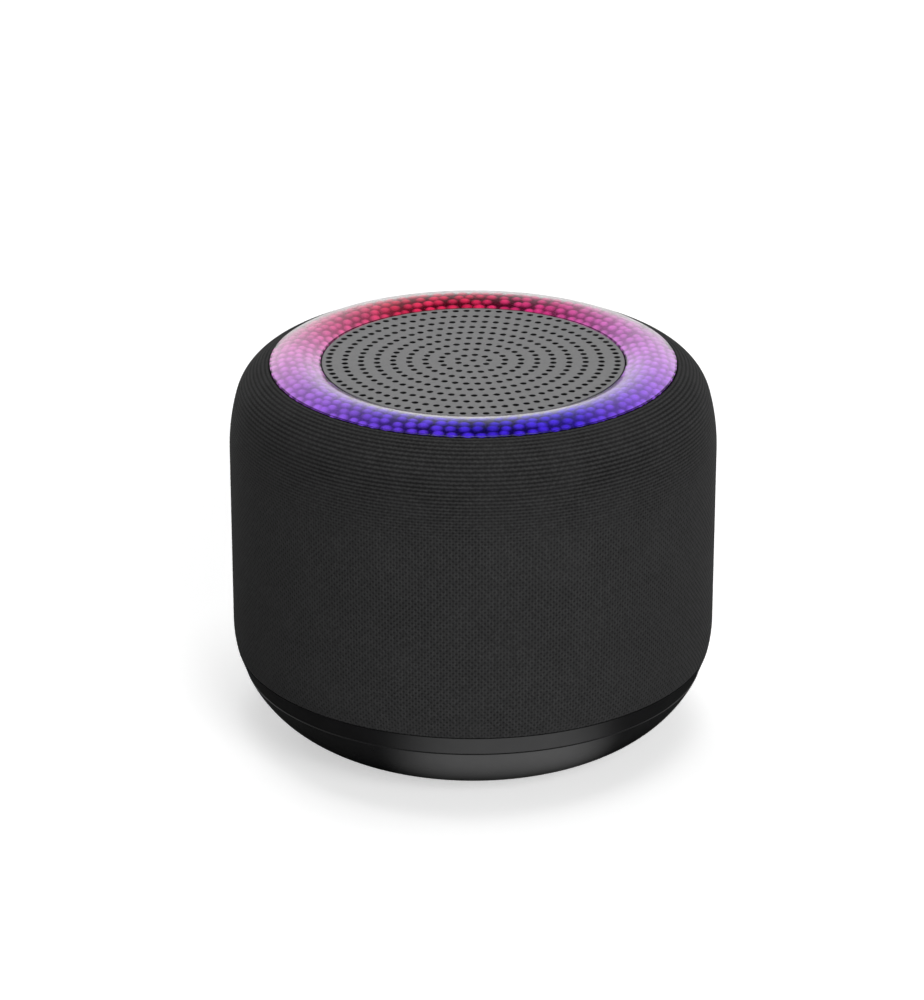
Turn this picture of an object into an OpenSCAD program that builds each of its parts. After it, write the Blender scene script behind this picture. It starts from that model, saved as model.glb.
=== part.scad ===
// Portable wireless speaker: a fabric-wrapped round body with a lit ring and a
// perforated grille on top, a full-range driver firing upwards, a rechargeable
// cell, and a control panel with five buttons and a charging socket at the rear.
// Millimetres, +Z up, rear towards +Y. The origin is the centre of the footprint.

/* [Body] */
// Largest diameter of the fabric-covered body
body_d = 80; // [70:1:100]
// Height of the grille's top face above the table
body_h = 64; // [60:1:90]
// Wall of the barrel and of the bottom cover
wall = 2.0; // [1.6:0.1:2.6]
// Thickness of the knitted cover
fabric_t = 0.6; // [0.4:0.1:0.9]
// Radius of the long curve that draws the side in towards the shoulder
sweep_r = 33; // [28:1:45]
// Tilt at which the side curve meets the shoulder curve
sweep_a = 15.5; // [10:0.5:18]
// Radius of the shoulder beside the lit ring
shoulder_r = 8; // [6:0.5:9]
// Radius of the bowl that closes the bottom
bowl_r = 19; // [17:0.5:21]
// Height of the fabric's lower edge above the table
fabric_z = 14.8; // [14:0.1:17]
// Height of the seam between the barrel and the bottom cover
seam_z = 11.3; // [10.5:0.1:12]

/* [Feet] */
// How far the rubber ring stands below the bottom cover
foot_proud = 0.8; // [0.5:0.1:1.5]
// Depth of the groove that holds the rubber ring
foot_groove = 0.8; // [0.5:0.1:1]
// Outer diameter of the rubber ring
foot_d = 48; // [44:1:50]
// Width of the rubber ring
foot_w = 9; // [8:0.5:10]

/* [Grille] */
// Thickness of the perforated disc
grille_t = 0.8; // [0.5:0.1:1]
// Rings of holes round the middle hole
grille_rings = 9; // [4:1:9]
// Distance from one ring of holes to the next
grille_pitch = 2.62; // [2.2:0.02:2.62]
// Diameter of a sound hole
grille_hole_d = 1.1; // [0.5:0.1:1.2]
// Holes in the innermost ring, and the number each further ring adds
grille_step = 9; // [6:1:9]
// Turn of the hole pattern
grille_turn = 3.7; // [0:0.1:40]

/* [Lit ring] */
// Distance from the body's side in to the diffuser
shoulder_w = 6.8; // [6:0.1:7.5]
// Width of the diffuser
ring_w = 8.25; // [8:0.05:9]
// Height of the diffuser's crest above its edges
ring_crown = 1.2; // [0.8:0.1:1.6]
// Wall of the diffuser's arch
ring_t = 1.6; // [1.2:0.1:2]
// Number of lamps on the lamp board
lamp_count = 12; // [8:1:16]
// Side of one square lamp
lamp_w = 3.5; // [2.8:0.1:3.8]
// Height of one lamp
lamp_h = 1.2; // [0.8:0.1:1.4]
// Thickness of the lamp board and of the reflector over it
lamp_board_t = 1.0; // [0.8:0.1:1.2]

/* [Driver] */
// Diameter of the driver's mounting flange
driver_d = 46.4; // [45:0.1:46.4]
// Thickness of the driver's flange
flange_t = 1.0; // [0.8:0.1:1.2]
// Depth from the flange to the driver's back plate
driver_depth = 20; // [19.5:0.5:24]
// Outer diameter of the cone at its rim
cone_d = 33.6; // [31:0.1:34]
// Diameter of the voice coil's former
coil_d = 13.2; // [12:0.1:14]
// Diameter of the ring magnet
magnet_d = 32; // [28:0.5:34]
// Thickness of the ring magnet
magnet_t = 6; // [5:0.5:7]
// Travel of the cone each way
cone_travel = 1.2; // [0.8:0.1:1.4]

/* [Control panel] */
// Width of the panel
panel_w = 15.6; // [15:0.1:17]
// Height of the panel
panel_h = 35.8; // [35:0.1:37]
// Height of the panel's middle above the table
panel_z = 33; // [32:0.1:34]
// Corner radius of the panel
panel_corner = 5; // [3:0.5:6]
// How far the panel's face stands out from the fabric
panel_proud = 0.15; // [0:0.05:0.4]
// Diameter of a button's cap
button_d = 3.4; // [2.8:0.1:3.4]
// How far a button stands out from the panel
button_proud = 0.45; // [0.3:0.05:0.8]
// Travel of a button
button_travel = 0.35; // [0.2:0.05:0.4]
// Distance between neighbouring buttons
button_pitch = 4.6; // [4.6:0.1:4.7]
// Height of the lowest button above the table
button_z = 29; // [28.8:0.1:29.2]

/* [Inside] */
// Diameter of the rechargeable cell
cell_d = 18.4; // [14:0.1:18.6]
// Length of the rechargeable cell
cell_l = 65.2; // [50:0.1:66]
// Height of the cell's middle above the table
cell_z = 18.5; // [18:0.1:19]
// Underside of the inner frame above the table
frame_z = 31; // [30:0.5:32]
// Thickness of the inner frame's deck
frame_t = 2; // [1.6:0.1:2.4]
// Width of the main board
board_w = 30; // [29:0.5:31]
// Height of the main board
board_h = 37; // [36:0.5:38]
// Distance from the body's side in to the main board
board_depth = 8.8; // [8.6:0.1:9]
// Thickness of the main board
board_t = 1.2; // [1:0.1:1.6]
// Diameter of a connecting lead
lead_d = 1.2; // [0.9:0.1:1.4]

/* [Hidden] */
$fn = 96;
BUTTONS = ["power", "volume_down", "play", "volume_up", "light"];

// Clearances
slip = 0.15;        // between pieces that slide together by hand
seat = 0.05;        // round a screw's shank in its pilot hole
run = 0.2;          // round a moving cap or a fabric edge
arc_steps = 16;     // flats along one stretch of a curved outline

// Body outline: a bowl, a straight side, a long inward curve and a shoulder
body_r = body_d / 2;
bowl_cx = body_r - bowl_r;
bowl_z = bowl_r + 0.2;
sweep_cx = body_r - sweep_r;
sweep_z = body_h - 14.5;
shoulder_cx = sweep_cx + (sweep_r - shoulder_r) * cos(sweep_a);
shoulder_z = sweep_z + (sweep_r - shoulder_r) * sin(sweep_a);
shell_out = fabric_t;
shell_in = fabric_t + wall;

// Top stack, from the grille down
grille_z = body_h - grille_t;
ring_out = body_r - shoulder_w;
ring_in = ring_out - ring_w;
grille_r = ring_in - slip;
cloth_t = 0.2;
lip_in = ring_out + run;                 // inner edge of the turned-in fabric
lip_r = lip_in + fabric_t;               // inner edge of the barrel's lip
skirt_t = 1.15;                          // skirts that stand the diffuser on the baffle
baffle_t = 2.4;
baffle_top = body_h - 6;
ledge_z = baffle_top - baffle_t;
ledge_t = 2.5;
baffle_r = lip_r - run;
ledge_in = baffle_r - 3.6;               // ledge that carries the baffle
baffle_screw_r = ledge_in + 1.6;
collar_t = 1.2;

// Driver
driver_r = driver_d / 2;
flange_z = baffle_top;
flange_top = flange_z + flange_t;
throat_r = 19.8;                         // opening inside the flange
cone_r = cone_d / 2;
coil_r = coil_d / 2;
former_t = 0.15;
winding_t = 0.35;
plate_t = 2;
basket_t = 0.8;
back_z = flange_z - driver_depth;
magnet_z = back_z + plate_t;
pole_z = magnet_z + magnet_t;
basket_floor = pole_z + plate_t;
driver_screw_r = 21.7;
magnet_r = magnet_d / 2;
plate_r = magnet_r - 1;
spider_z = basket_floor + 3.6;
spider_r = 14.2;
step_r = spider_r - 1.2;                 // inner edge of the basket's shelf
surround_t = 0.5;
rim_z = flange_top - 0.6;                // cone rim, below the flange's top
neck_z = rim_z - 4.4;                    // where the cone meets the former

// Bottom
floor_in = foot_proud + wall;
foot_r = foot_d / 2;
post_r = 3.2;
post_ring = 20;                          // radius at which the posts stand
post_seat = 5;                           // height at which a post meets the cover
tongue_t = 1.2;

// Panel
panel_face = body_r + panel_proud;
panel_back = body_r - shell_in;
rim_w = 1.5;                             // how far the panel's rim runs behind the barrel
rim_t = 1;
socket_z = button_z - 8.7;
recess_w = 12.6;
recess_h = 6.8;
recess_floor = panel_back + 0.2;
lamp_x = 3.2;
lamp_z = button_z - 3.7;
button_r = button_d / 2;
button_rim = 0.25;                       // step that keeps a cap from falling out
cap_back = panel_back - rim_t - 0.3;
board_z = panel_z;
board_hole_x = board_w / 2 - 2.7;
board_hole_z = board_h / 2 - 3;
board_y = body_r - board_depth;
board_in = board_y - board_t;
switch_w = 4.2;
switch_h = 1.4;
plunger_r = 1.1;
plunger_out = board_y + 2;

// Screws: [shank radius, head radius, head height]
small_screw = [0.8, 1.45, 1.0];
mid_screw = [1.0, 1.9, 1.3];
large_screw = [1.2, 2.1, 1.6];

column_r = 2.6;
column_ring = body_r - shell_in - column_r + 0.1;
saddle_x = 20;
pad_t = 0.6;

// ---------- Shared shapes ----------

// Points along an arc, in the r-z plane
function arc_points(cx, cz, r, a0, a1, n = arc_steps) =
    [for (k = [0 : n]) let (a = a0 + (a1 - a0) * k / n) [cx + r * cos(a), cz + r * sin(a)]];

function without_first(list) = [for (k = [1 : len(list) - 1]) list[k]];
function reversed(list) = [for (k = [len(list) - 1 : -1 : 0]) list[k]];

// Angle on the shoulder curve, moved in by inset, at which it reaches radius r
function shoulder_angle(r, inset) = acos((r - shoulder_cx) / (shoulder_r - inset));

// Body outline moved in by inset, from height z0 in the bowl to radius r1 on the shoulder
function side_points(inset, z0, r1) = concat(
    arc_points(bowl_cx, bowl_z, bowl_r - inset, asin((z0 - bowl_z) / (bowl_r - inset)), 0),
    arc_points(sweep_cx, sweep_z, sweep_r - inset, 0, sweep_a),
    without_first(arc_points(shoulder_cx, shoulder_z, shoulder_r - inset,
                             sweep_a, shoulder_angle(r1, inset))));

// Radius of the bowl, moved in by inset, at height z
function bowl_radius(z, inset) = bowl_cx + sqrt(pow(bowl_r - inset, 2) - pow(z - bowl_z, 2));

module spin(points) {
    rotate_extrude() polygon(points);
}

module tube(r_out, r_in, z0, z1) {
    difference() {
        translate([0, 0, z0]) cylinder(r = r_out, h = z1 - z0);
        translate([0, 0, z0 - 1]) cylinder(r = r_in, h = z1 - z0 + 2);
    }
}

module rod(r, z0, z1) {
    translate([0, 0, z0]) cylinder(r = r, h = z1 - z0);
}

// Copies on a circle
module around(n, r, turn = 0) {
    for (k = [0 : n - 1]) rotate(turn + 360 * k / n) translate([r, 0, 0]) children();
}

// Turns a shape built along +Z so that it points to the rear
module rearward(x = 0, z = 0) {
    translate([x, 0, z]) rotate([-90, 0, 0]) children();
}

function rounded_corner(x, y, r, a) =
    [for (k = [0 : 6]) [x + r * cos(a + 15 * k), y + r * sin(a + 15 * k)]];

// Rounded rectangle about the origin
module rounded_rect(w, h, r) {
    polygon(concat(rounded_corner(w / 2 - r, h / 2 - r, r, 0),
                   rounded_corner(r - w / 2, h / 2 - r, r, 90),
                   rounded_corner(r - w / 2, r - h / 2, r, 180),
                   rounded_corner(w / 2 - r, r - h / 2, r, 270)));
}

// Rounded-rectangle bar that runs rearward from y0 to y1 at height z
module rear_bar(w, h, r, z, y0, y1, x = 0) {
    rearward(x, z) translate([0, 0, y0]) linear_extrude(y1 - y0) rounded_rect(w, h, r);
}

module rear_box(x, z, w, h, y0, y1) {
    translate([x - w / 2, y0, z - h / 2]) cube([w, y1 - y0, h]);
}

// Screw whose head rests at height z and whose shank runs down, or up if mirrored
module screw(size, z, length, up = false) {
    translate([0, 0, z]) mirror([0, 0, up ? 1 : 0]) difference() {
        union() {
            cylinder(r = size[1], h = size[2]);
            translate([0, 0, -length]) cylinder(r = size[0], h = length + 0.1);
        }
        for (a = [0, 90]) rotate(a)
            translate([-size[1] * 0.6, -size[1] * 0.12, size[2] * 0.5])
                cube([size[1] * 1.2, size[1] * 0.24, size[2]]);
    }
}

// Everything inside the body outline moved in by inset
module within(inset) {
    spin(concat([[0, bowl_z - bowl_r + inset + 1]],
                side_points(inset, bowl_z - bowl_r + inset + 1, lip_r),
                [[0, shoulder_z + (shoulder_r - inset) * sin(shoulder_angle(lip_r, inset))]]));
}

// ---------- Shell ----------

// Height at which the shoulder curve, moved in by inset, reaches radius r
function shoulder_top(r, inset) =
    shoulder_z + (shoulder_r - inset) * sin(shoulder_angle(r, inset));

hem_z = shoulder_top(lip_r, shell_out) - 1.8;

// Knitted cover: follows the barrel and turns in over its lip
module fabric_sleeve() {
    color("#2e2e2e") difference() {
        spin(concat(side_points(0, fabric_z, lip_in),
                    [[lip_in, hem_z], [lip_r - 0.02, hem_z]],
                    reversed(side_points(shell_out - 0.02, fabric_z, lip_r - 0.02))));
        rear_bar(panel_w + 2 * slip, panel_h + 2 * slip, panel_corner + slip, panel_z,
                 body_r / 2, body_r + 5);
    }
}

// Moulded barrel: the enclosure's wall, with the bare band under the fabric
module barrel() {
    band_top = bowl_radius(fabric_z, 0);
    band_bottom = bowl_radius(seam_z, 0);
    color("#161616") difference() {
        union() {
            spin(concat([[bowl_radius(seam_z, shell_in), seam_z],
                         [band_bottom - 0.15, seam_z], [band_bottom, seam_z + 0.15],
                         [band_top, fabric_z - slip]],
                        side_points(shell_out, fabric_z - slip, lip_r),
                        [[lip_r, shoulder_top(lip_r, shell_in)]],
                        reversed(side_points(shell_in, seam_z + 0.01, lip_r + 0.01))));
            intersection() {
                within(fabric_t + wall / 2);
                union() {
                    tube(body_r, ledge_in, ledge_z - ledge_t, ledge_z);
                    around(4, column_ring, 45) rod(column_r, frame_z + frame_t, ledge_z - 1);
                    around(4, baffle_screw_r, 45) rod(2.2, ledge_z - 8, ledge_z - 1);
                    for (x = [-board_hole_x, board_hole_x], z = [-board_hole_z, board_hole_z])
                        rearward(x, board_z + z) rod(2.3, board_y, body_r);
                }
            }
        }
        around(4, column_ring, 45)
            rod(mid_screw[0] + seat, frame_z + frame_t - 1, frame_z + frame_t + 8);
        around(4, baffle_screw_r, 45) rod(mid_screw[0] + seat, ledge_z - 7, ledge_z + 1);
        for (x = [-board_hole_x, board_hole_x], z = [-board_hole_z, board_hole_z])
            rearward(x, board_z + z) rod(small_screw[0] + seat, board_y - 1, board_y + 4);
        rear_bar(panel_w + 2 * slip, panel_h + 2 * slip, panel_corner + slip, panel_z,
                 body_r * 0.85, body_r + 5);
        // pocket for the rim behind the panel
        intersection() {
            rear_bar(panel_w + 2 * (rim_w + slip), panel_h + 2 * (rim_w + slip),
                     panel_corner + rim_w + slip, panel_z, body_r * 0.85, body_r);
            rod(panel_back, panel_z - panel_h, panel_z + panel_h);
        }
    }
}

// Bottom cover: a bowl with a tongue inside the barrel, saddles for the cell and screw seats
module bottom_cover() {
    tongue_r = bowl_radius(seam_z, shell_in) - slip;
    inner = arc_points(bowl_cx, bowl_z, bowl_r - wall,
                       asin((floor_in - bowl_z) / (bowl_r - wall)),
                       asin((seam_z - 1 - bowl_z) / (bowl_r - wall)));
    outer = arc_points(bowl_cx, bowl_z, bowl_r, asin((foot_proud - bowl_z) / bowl_r),
                       asin((seam_z - 0.15 - bowl_z) / bowl_r));
    color("#1a1a1a") difference() {
        union() {
            spin(concat([[0, foot_proud]], outer,
                        [[bowl_radius(seam_z - 0.15, 0) - 0.15, seam_z],
                         [tongue_r, seam_z], [tongue_r, seam_z + 2.5],
                         [tongue_r - tongue_t, seam_z + 2.5], [tongue_r - tongue_t, seam_z - 1]],
                        reversed(inner), [[0, floor_in]]));
            around(4, post_ring, 45) rod(4, floor_in - 1, post_seat);
            for (x = [-saddle_x, saddle_x]) difference() {
                translate([x - 2, -8, floor_in - 1]) cube([4, 16, cell_z - 3.5 - floor_in]);
                translate([x - 3, 0, cell_z]) rotate([0, 90, 0])
                    cylinder(r = cell_d / 2 + pad_t, h = 6);
            }
        }
        tube(foot_r + slip, foot_r - foot_w - slip, foot_proud - 1, foot_proud + foot_groove);
        around(4, post_ring, 45) {
            rod(large_screw[1] + run, foot_proud, post_seat - 1.4);
            rod(large_screw[0] + run, foot_proud, post_seat + 1);
        }
    }
}

// Four screws, up through the bottom cover into the inner frame's posts
module bottom_screws() {
    color("silver") around(4, post_ring, 45)
        screw(large_screw, post_seat - 1.4, 8.5, up = true);
}

// Rubber ring that the speaker stands on, with rounded lower edges
module foot_ring() {
    top = foot_proud + foot_groove;
    r = 0.4;
    color("#101010") spin(concat(
        arc_points(foot_r - r, r, r, -90, 0, 4), [[foot_r, top], [foot_r - foot_w, top]],
        arc_points(foot_r - foot_w + r, r, r, 180, 270, 4)));
}

// ---------- Top ----------

// Perforated disc: one middle hole, then rings whose hole count grows by the same step
module grille_disc() {
    color("#808080") difference() {
        spin([[0, grille_z], [grille_r, grille_z], [grille_r, body_h - 0.15],
              [grille_r - 0.15, body_h], [0, body_h]]);
        rod(grille_hole_d / 2, grille_z - 1, body_h + 1);
        for (k = [1 : grille_rings])
            around(grille_step * k, grille_pitch * k, grille_turn)
                rod(grille_hole_d / 2, grille_z - 1, body_h + 1);
    }
}

// Acoustic cloth bonded under the grille
module dust_cloth() {
    color("#0c0c0c") rod(grille_r - collar_t - slip, grille_z - cloth_t, grille_z);
}

// Milky arch that carries the light, standing on the baffle by two skirts
module diffuser_ring() {
    mid = (ring_in + ring_out) / 2;
    half = (ring_out - ring_in) / 2;
    arch_r = (half * half + ring_crown * ring_crown) / (2 * ring_crown);
    arch_z = body_h + ring_crown - arch_r;
    a = asin(half / arch_r);
    under = asin((half - skirt_t) / (arch_r - ring_t));
    color("#c878d8") spin(concat(
        arc_points(mid, arch_z, arch_r, 90 - a, 90 + a, 16),
        [[ring_in, baffle_top], [ring_in + skirt_t, baffle_top]],
        arc_points(mid, arch_z, arch_r - ring_t, 90 + under, 90 - under, 12),
        [[ring_out - skirt_t, baffle_top], [ring_out, baffle_top]]));
}

// White mask over the lamp board, with a window round each lamp
module reflector_ring() {
    z = baffle_top + lamp_board_t;
    color("white") difference() {
        tube(ring_out - skirt_t - slip, ring_in + skirt_t + slip, z, z + lamp_board_t);
        around(lamp_count, (ring_in + ring_out) / 2)
            translate([-lamp_w / 2 - slip, -lamp_w / 2 - slip, z - 1])
                cube([lamp_w + 2 * slip, lamp_w + 2 * slip, lamp_board_t + 2]);
    }
}

// Annular lamp board under the reflector
module lamp_board() {
    color("#0d3b24") tube(ring_out - skirt_t - slip, ring_in + skirt_t + slip,
                          baffle_top, baffle_top + lamp_board_t);
}

// Square colour lamps on the lamp board
module lamps() {
    z = baffle_top + lamp_board_t;
    color("#f4f4ee") around(lamp_count, (ring_in + ring_out) / 2)
        translate([-lamp_w / 2, -lamp_w / 2, z]) cube([lamp_w, lamp_w, lamp_h]);
}

// Baffle: carries the driver, a collar for the grille and the lit ring's parts
module top_baffle() {
    color("#1c1c1c") difference() {
        union() {
            tube(baffle_r, throat_r + 0.4, ledge_z, baffle_top);
            tube(grille_r, grille_r - collar_t, baffle_top - 1, grille_z);
            around(4, driver_screw_r) rod(2.1, ledge_z - 3, ledge_z + 1);
        }
        around(4, baffle_screw_r, 45) {
            rod(mid_screw[1] + slip, baffle_top - mid_screw[2] - 0.1, baffle_top + 1);
            rod(mid_screw[0] + run, ledge_z - 1, baffle_top + 1);
        }
        around(4, driver_screw_r)
            rod(small_screw[0] + seat, ledge_z - 2.5, baffle_top + 1);
        // slot for the lamp board's leads
        translate([-3, ring_in + skirt_t + 0.6, ledge_z - 1]) cube([6, 2.4, baffle_t + 2]);
    }
}

// Four screws that hold the baffle on the barrel's ledge, heads below its face
module baffle_screws() {
    color("silver") around(4, baffle_screw_r, 45)
        screw(mid_screw, baffle_top - mid_screw[2] - 0.1, 6);
}

// ---------- Driver ----------

// Pressed steel basket with four windows and a shelf for the spider
module driver_basket() {
    t = basket_t;
    shelf = spider_z;
    color("#3a3d40") difference() {
        spin([[coil_r + 1.6, basket_floor], [step_r + t, basket_floor],
              [step_r + t, shelf - t], [spider_r + 1.2, shelf - t],
              [throat_r, flange_z], [driver_r, flange_z], [driver_r, flange_top],
              [throat_r - t, flange_top], [throat_r - t, flange_z + 0.3],
              [spider_r + 0.6, shelf], [step_r, shelf], [step_r, basket_floor + t],
              [coil_r + 1.6, basket_floor + t]]);
        around(4, 17.2, 45) rod(3.0, shelf + 0.5, flange_z - 0.6);
        around(4, driver_screw_r) rod(small_screw[0] + run, flange_z - 1, flange_top + 1);
    }
}

// Four screws through the flange into the baffle
module driver_screws() {
    color("silver") around(4, driver_screw_r) screw(small_screw, flange_top, 4);
}

// Rubber roll between the cone's rim and the basket's flange
module surround() {
    inner = cone_r - 0.9;
    mid = (cone_r + throat_r - basket_t) / 2 + 0.2;
    r = mid - cone_r;
    t = surround_t;
    color("#111111") spin(concat(
        [[inner, rim_z], [inner, rim_z + t], [mid - r - t / 2, rim_z + t]],
        arc_points(mid, flange_top + t / 2, r + t / 2, 170, 0, 10),
        [[throat_r + 0.3, flange_top + t], [throat_r + 0.3, flange_top],
         [mid + r - t / 2, flange_top]],
        arc_points(mid, flange_top + t / 2, r - t / 2, 10, 180, 10),
        [[mid - r + t / 2, rim_z]]));
}

// Corrugated cloth disc that centres the former
module spider() {
    n = 24;
    w = spider_r - coil_r - 0.8;
    t = 0.3;
    ripple = function (k) 0.35 * sin(360 * 4 * k / n);
    radius = function (k) coil_r + 0.2 + w * k / n;
    color("#a8792e") spin(concat(
        [for (k = [0 : n]) [radius(k), spider_z + t + ripple(k) * (k < n - 3 ? 1 : 0)]],
        [for (k = [n : -1 : 0]) [radius(k), spider_z + ripple(k) * (k < n - 3 ? 1 : 0)]]));
}

// Paper cone with a gently curved flare
module cone() {
    t = 0.4;
    run_r = cone_r - coil_r - 0.05;
    rise = rim_z - t - neck_z;
    flare = function (s) pow(s, 0.8);
    color("#202020") spin(concat(
        [for (k = [0 : 10]) [coil_r + 0.05 + run_r * k / 10, neck_z + rise * flare(k / 10)]],
        [for (k = [10 : -1 : 0]) [coil_r + 0.05 + run_r * k / 10, neck_z + t + rise * flare(k / 10)]]));
}

// Domed cap glued over the cone's middle
module dust_cap() {
    r = coil_r + 2.2;
    rise = 2;
    dome = (r * r + rise * rise) / (2 * rise);
    z = neck_z + 0.72 + (rim_z - 0.4 - neck_z) * pow(2.15 / (cone_r - coil_r - 0.05), 0.8);
    a = asin(r / dome);
    color("#262626") spin(concat(
        arc_points(0, z + rise - dome, dome, 90 - a, 90, 10),
        reversed(arc_points(0, z + rise - dome, dome - 0.3, 90 - a, 90, 10))));
}

// Thin tube that carries the winding
module coil_former() {
    color("#c9a24a") tube(coil_r, coil_r - former_t, pole_z - 0.5, neck_z + 1.2);
}

// Copper winding in the magnet's gap
module coil_winding() {
    color("#b5652a") tube(coil_r + winding_t, coil_r, pole_z - 0.3, basket_floor + 0.3);
}

// Steel plate over the magnet, with the gap round the pole
module pole_plate() {
    color("#8c9094") tube(plate_r, coil_r + winding_t + 0.3, pole_z, basket_floor);
}

module ring_magnet() {
    color("#2b2b2e") tube(magnet_r, coil_r + 1.6, magnet_z, pole_z);
}

// Back plate and pole in one turned piece
module yoke() {
    color("#8c9094") union() {
        rod(plate_r, back_z, magnet_z);
        rod(coil_r - former_t - 0.3, magnet_z - 1, basket_floor);
    }
}

// Two solder tags on an insulating strip, on the basket's side
module driver_terminals() {
    y = step_r + basket_t;
    color("#c9a24a") union() {
        translate([-4, y, basket_floor + 0.4]) cube([8, 1, 2]);
        for (x = [-2.6, 1.4]) translate([x, y + 0.5, basket_floor + 0.9]) cube([1.2, 2.6, 0.5]);
    }
}

// ---------- Inside ----------

// Deck across the barrel, with posts down to the bottom cover and ribs over the cell
module inner_frame() {
    rib_w = 4;
    color("#26282b") difference() {
        union() {
            rod(body_r - shell_in - 0.3, frame_z, frame_z + frame_t);
            around(4, post_ring, 45) rod(post_r, post_seat, frame_z + 1);
            for (x = [-saddle_x, saddle_x])
                translate([x - rib_w / 2, -8, cell_z + 5]) cube([rib_w, 16, frame_z - cell_z - 4]);
        }
        for (x = [-saddle_x, saddle_x]) translate([x - rib_w, 0, cell_z]) rotate([0, 90, 0])
            cylinder(r = cell_d / 2 + pad_t, h = 2 * rib_w);
        around(4, column_ring, 45) rod(mid_screw[0] + run, frame_z - 1, frame_z + frame_t + 1);
        around(4, post_ring, 45) rod(large_screw[0] + seat, post_seat - 1, post_seat + 8);
        translate([-board_w / 2 - 2.5, board_in - 2.6, frame_z - 1])
            cube([board_w + 5, body_r, frame_t + 2]);
        // lightening openings either side of the cell
        for (s = [-1, 1]) translate([-9, s * 17 - 4, frame_z - 1]) cube([18, 8, frame_t + 2]);
    }
}

// Four screws, up through the deck into the barrel's columns
module frame_screws() {
    color("silver") around(4, column_ring, 45) screw(mid_screw, frame_z, 8.5, up = true);
}

// Cylindrical cell in its wrap, with a raised positive cap
module battery_cell() {
    r = cell_d / 2;
    color("#2f6fb0") translate([-cell_l / 2, 0, cell_z]) rotate([0, 90, 0]) rotate_extrude()
        polygon([[0, 0], [r - 0.4, 0], [r, 0.4], [r, cell_l - 1], [r - 0.6, cell_l - 0.6],
                 [3.2, cell_l - 0.6], [3.2, cell_l], [0, cell_l]]);
}

// Foam strips between the cell and its saddles and ribs
module battery_pads() {
    r = cell_d / 2;
    color("#3b3b3b") for (x = [-saddle_x, saddle_x], up = [0, 180])
        translate([x - 1.8, 0, cell_z]) rotate([up, 0, 0]) rotate([0, 90, 0]) rotate([0, 0, -35])
            rotate_extrude(angle = 70) translate([r + seat, 0]) square([pad_t - 2 * seat, 3.6]);
}

// Guard board welded to the cell's flat end
module battery_guard_board() {
    color("#0f5a36") translate([-cell_l / 2 - 1.2, -4.5, cell_z - 4.5]) cube([1.2, 9, 9]);
}

// Main board, upright behind the control panel
module main_board() {
    color("#0f5a36") difference() {
        rear_bar(board_w, board_h, 1.5, board_z, board_in, board_y);
        for (x = [-board_hole_x, board_hole_x], z = [-board_hole_z, board_hole_z])
            rearward(x, board_z + z) rod(small_screw[0] + run, board_in - 1, board_y + 1);
    }
}

// Four screws through the main board into the barrel's bosses
module board_screws() {
    color("silver") for (x = [-board_hole_x, board_hole_x], z = [-board_hole_z, board_hole_z])
        rearward(x, board_z + z) screw(small_screw, board_in, 4.5, up = true);
}

module radio_chip() {
    color("#1b1b1d") rear_box(6, board_z + 11, 6, 6, board_in - 0.9, board_in);
}

module amplifier_chip() {
    color("#1b1b1d") rear_box(-6, board_z + 12.5, 5, 4, board_in - 1.5, board_in);
}

// Two wound coils on the charging and boost supplies
module power_coils() {
    color("#55585c") for (z = [-9.5, -15]) rear_box(6.5, board_z + z, 4.2, 4.2, board_in - 2, board_in);
}

// Three can capacitors
module capacitors() {
    color("#b9bcc0") for (x = [-11, -5, 1])
        rearward(x, board_z + 5.5) rod(2, board_in - 3.4, board_in);
}

// Each socket: x, height above the board's middle, width and height
LEAD_SOCKETS = [[-7, -13, 3.6, 6.4], [10, 0.5, 6.4, 3.6], [0, 16.5, 6.4, 3.6]];

// Sockets for the leads of the cell, the driver and the lamp board
module lead_sockets() {
    color("#e9e4d6") for (s = LEAD_SOCKETS) difference() {
        rear_box(s[0], board_z + s[1], s[2], s[3], board_in - 2.4, board_in);
        rear_box(s[0], board_z + s[1], s[2] - 1, s[3] - 1, board_in - 3, board_in - 0.6);
    }
}

// Pressed shell of the charging socket, standing on the main board
module usb_shell() {
    color("silver") difference() {
        rear_bar(8.94, 3.26, 1.2, socket_z, board_y, recess_floor - 0.1);
        rear_bar(8.34, 2.66, 0.95, socket_z, board_y - 1, recess_floor + 1);
    }
}

// Contact tongue and its insulating root inside the shell
module usb_tongue() {
    color("#222222") union() {
        rear_bar(8.3, 2.62, 0.93, socket_z, board_y, board_y + 1.6);
        rear_bar(6.7, 0.7, 0.2, socket_z, board_y + 1, recess_floor - 0.8);
    }
}

module status_lamp() {
    color("#f4f4ee") rear_box(-lamp_x, lamp_z, 1.6, 1.2, board_y, board_y + 0.7);
}

// Clear pin that brings the status light to the panel's face
module light_pipe() {
    color("#dfe9f2") rearward(-lamp_x, lamp_z) union() {
        rod(0.7, board_y + 0.9, panel_face - 0.2);
        rod(1.3, panel_back - rim_t - 1.3, panel_back - rim_t - 0.45);
    }
}

module microphone() {
    color("#c9a24a") rearward(lamp_x, lamp_z) rod(1.6, board_y, board_y + 1.3);
}

// Square bodies of the five push switches
module switch_bodies() {
    color("#2c2c2e") for (k = [0 : len(BUTTONS) - 1]) difference() {
        rear_box(0, button_height(k), switch_w, switch_w, board_y, board_y + switch_h);
        rearward(0, button_height(k)) rod(plunger_r + 0.08, board_y + 0.3, board_y + 2);
    }
}

function button_height(k) = button_z + button_pitch * k;

module switch_plunger(k) {
    color("#8a8a8a") rearward(0, button_height(k))
        rod(plunger_r, board_y + 0.4 + button_travel, plunger_out);
}

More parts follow.
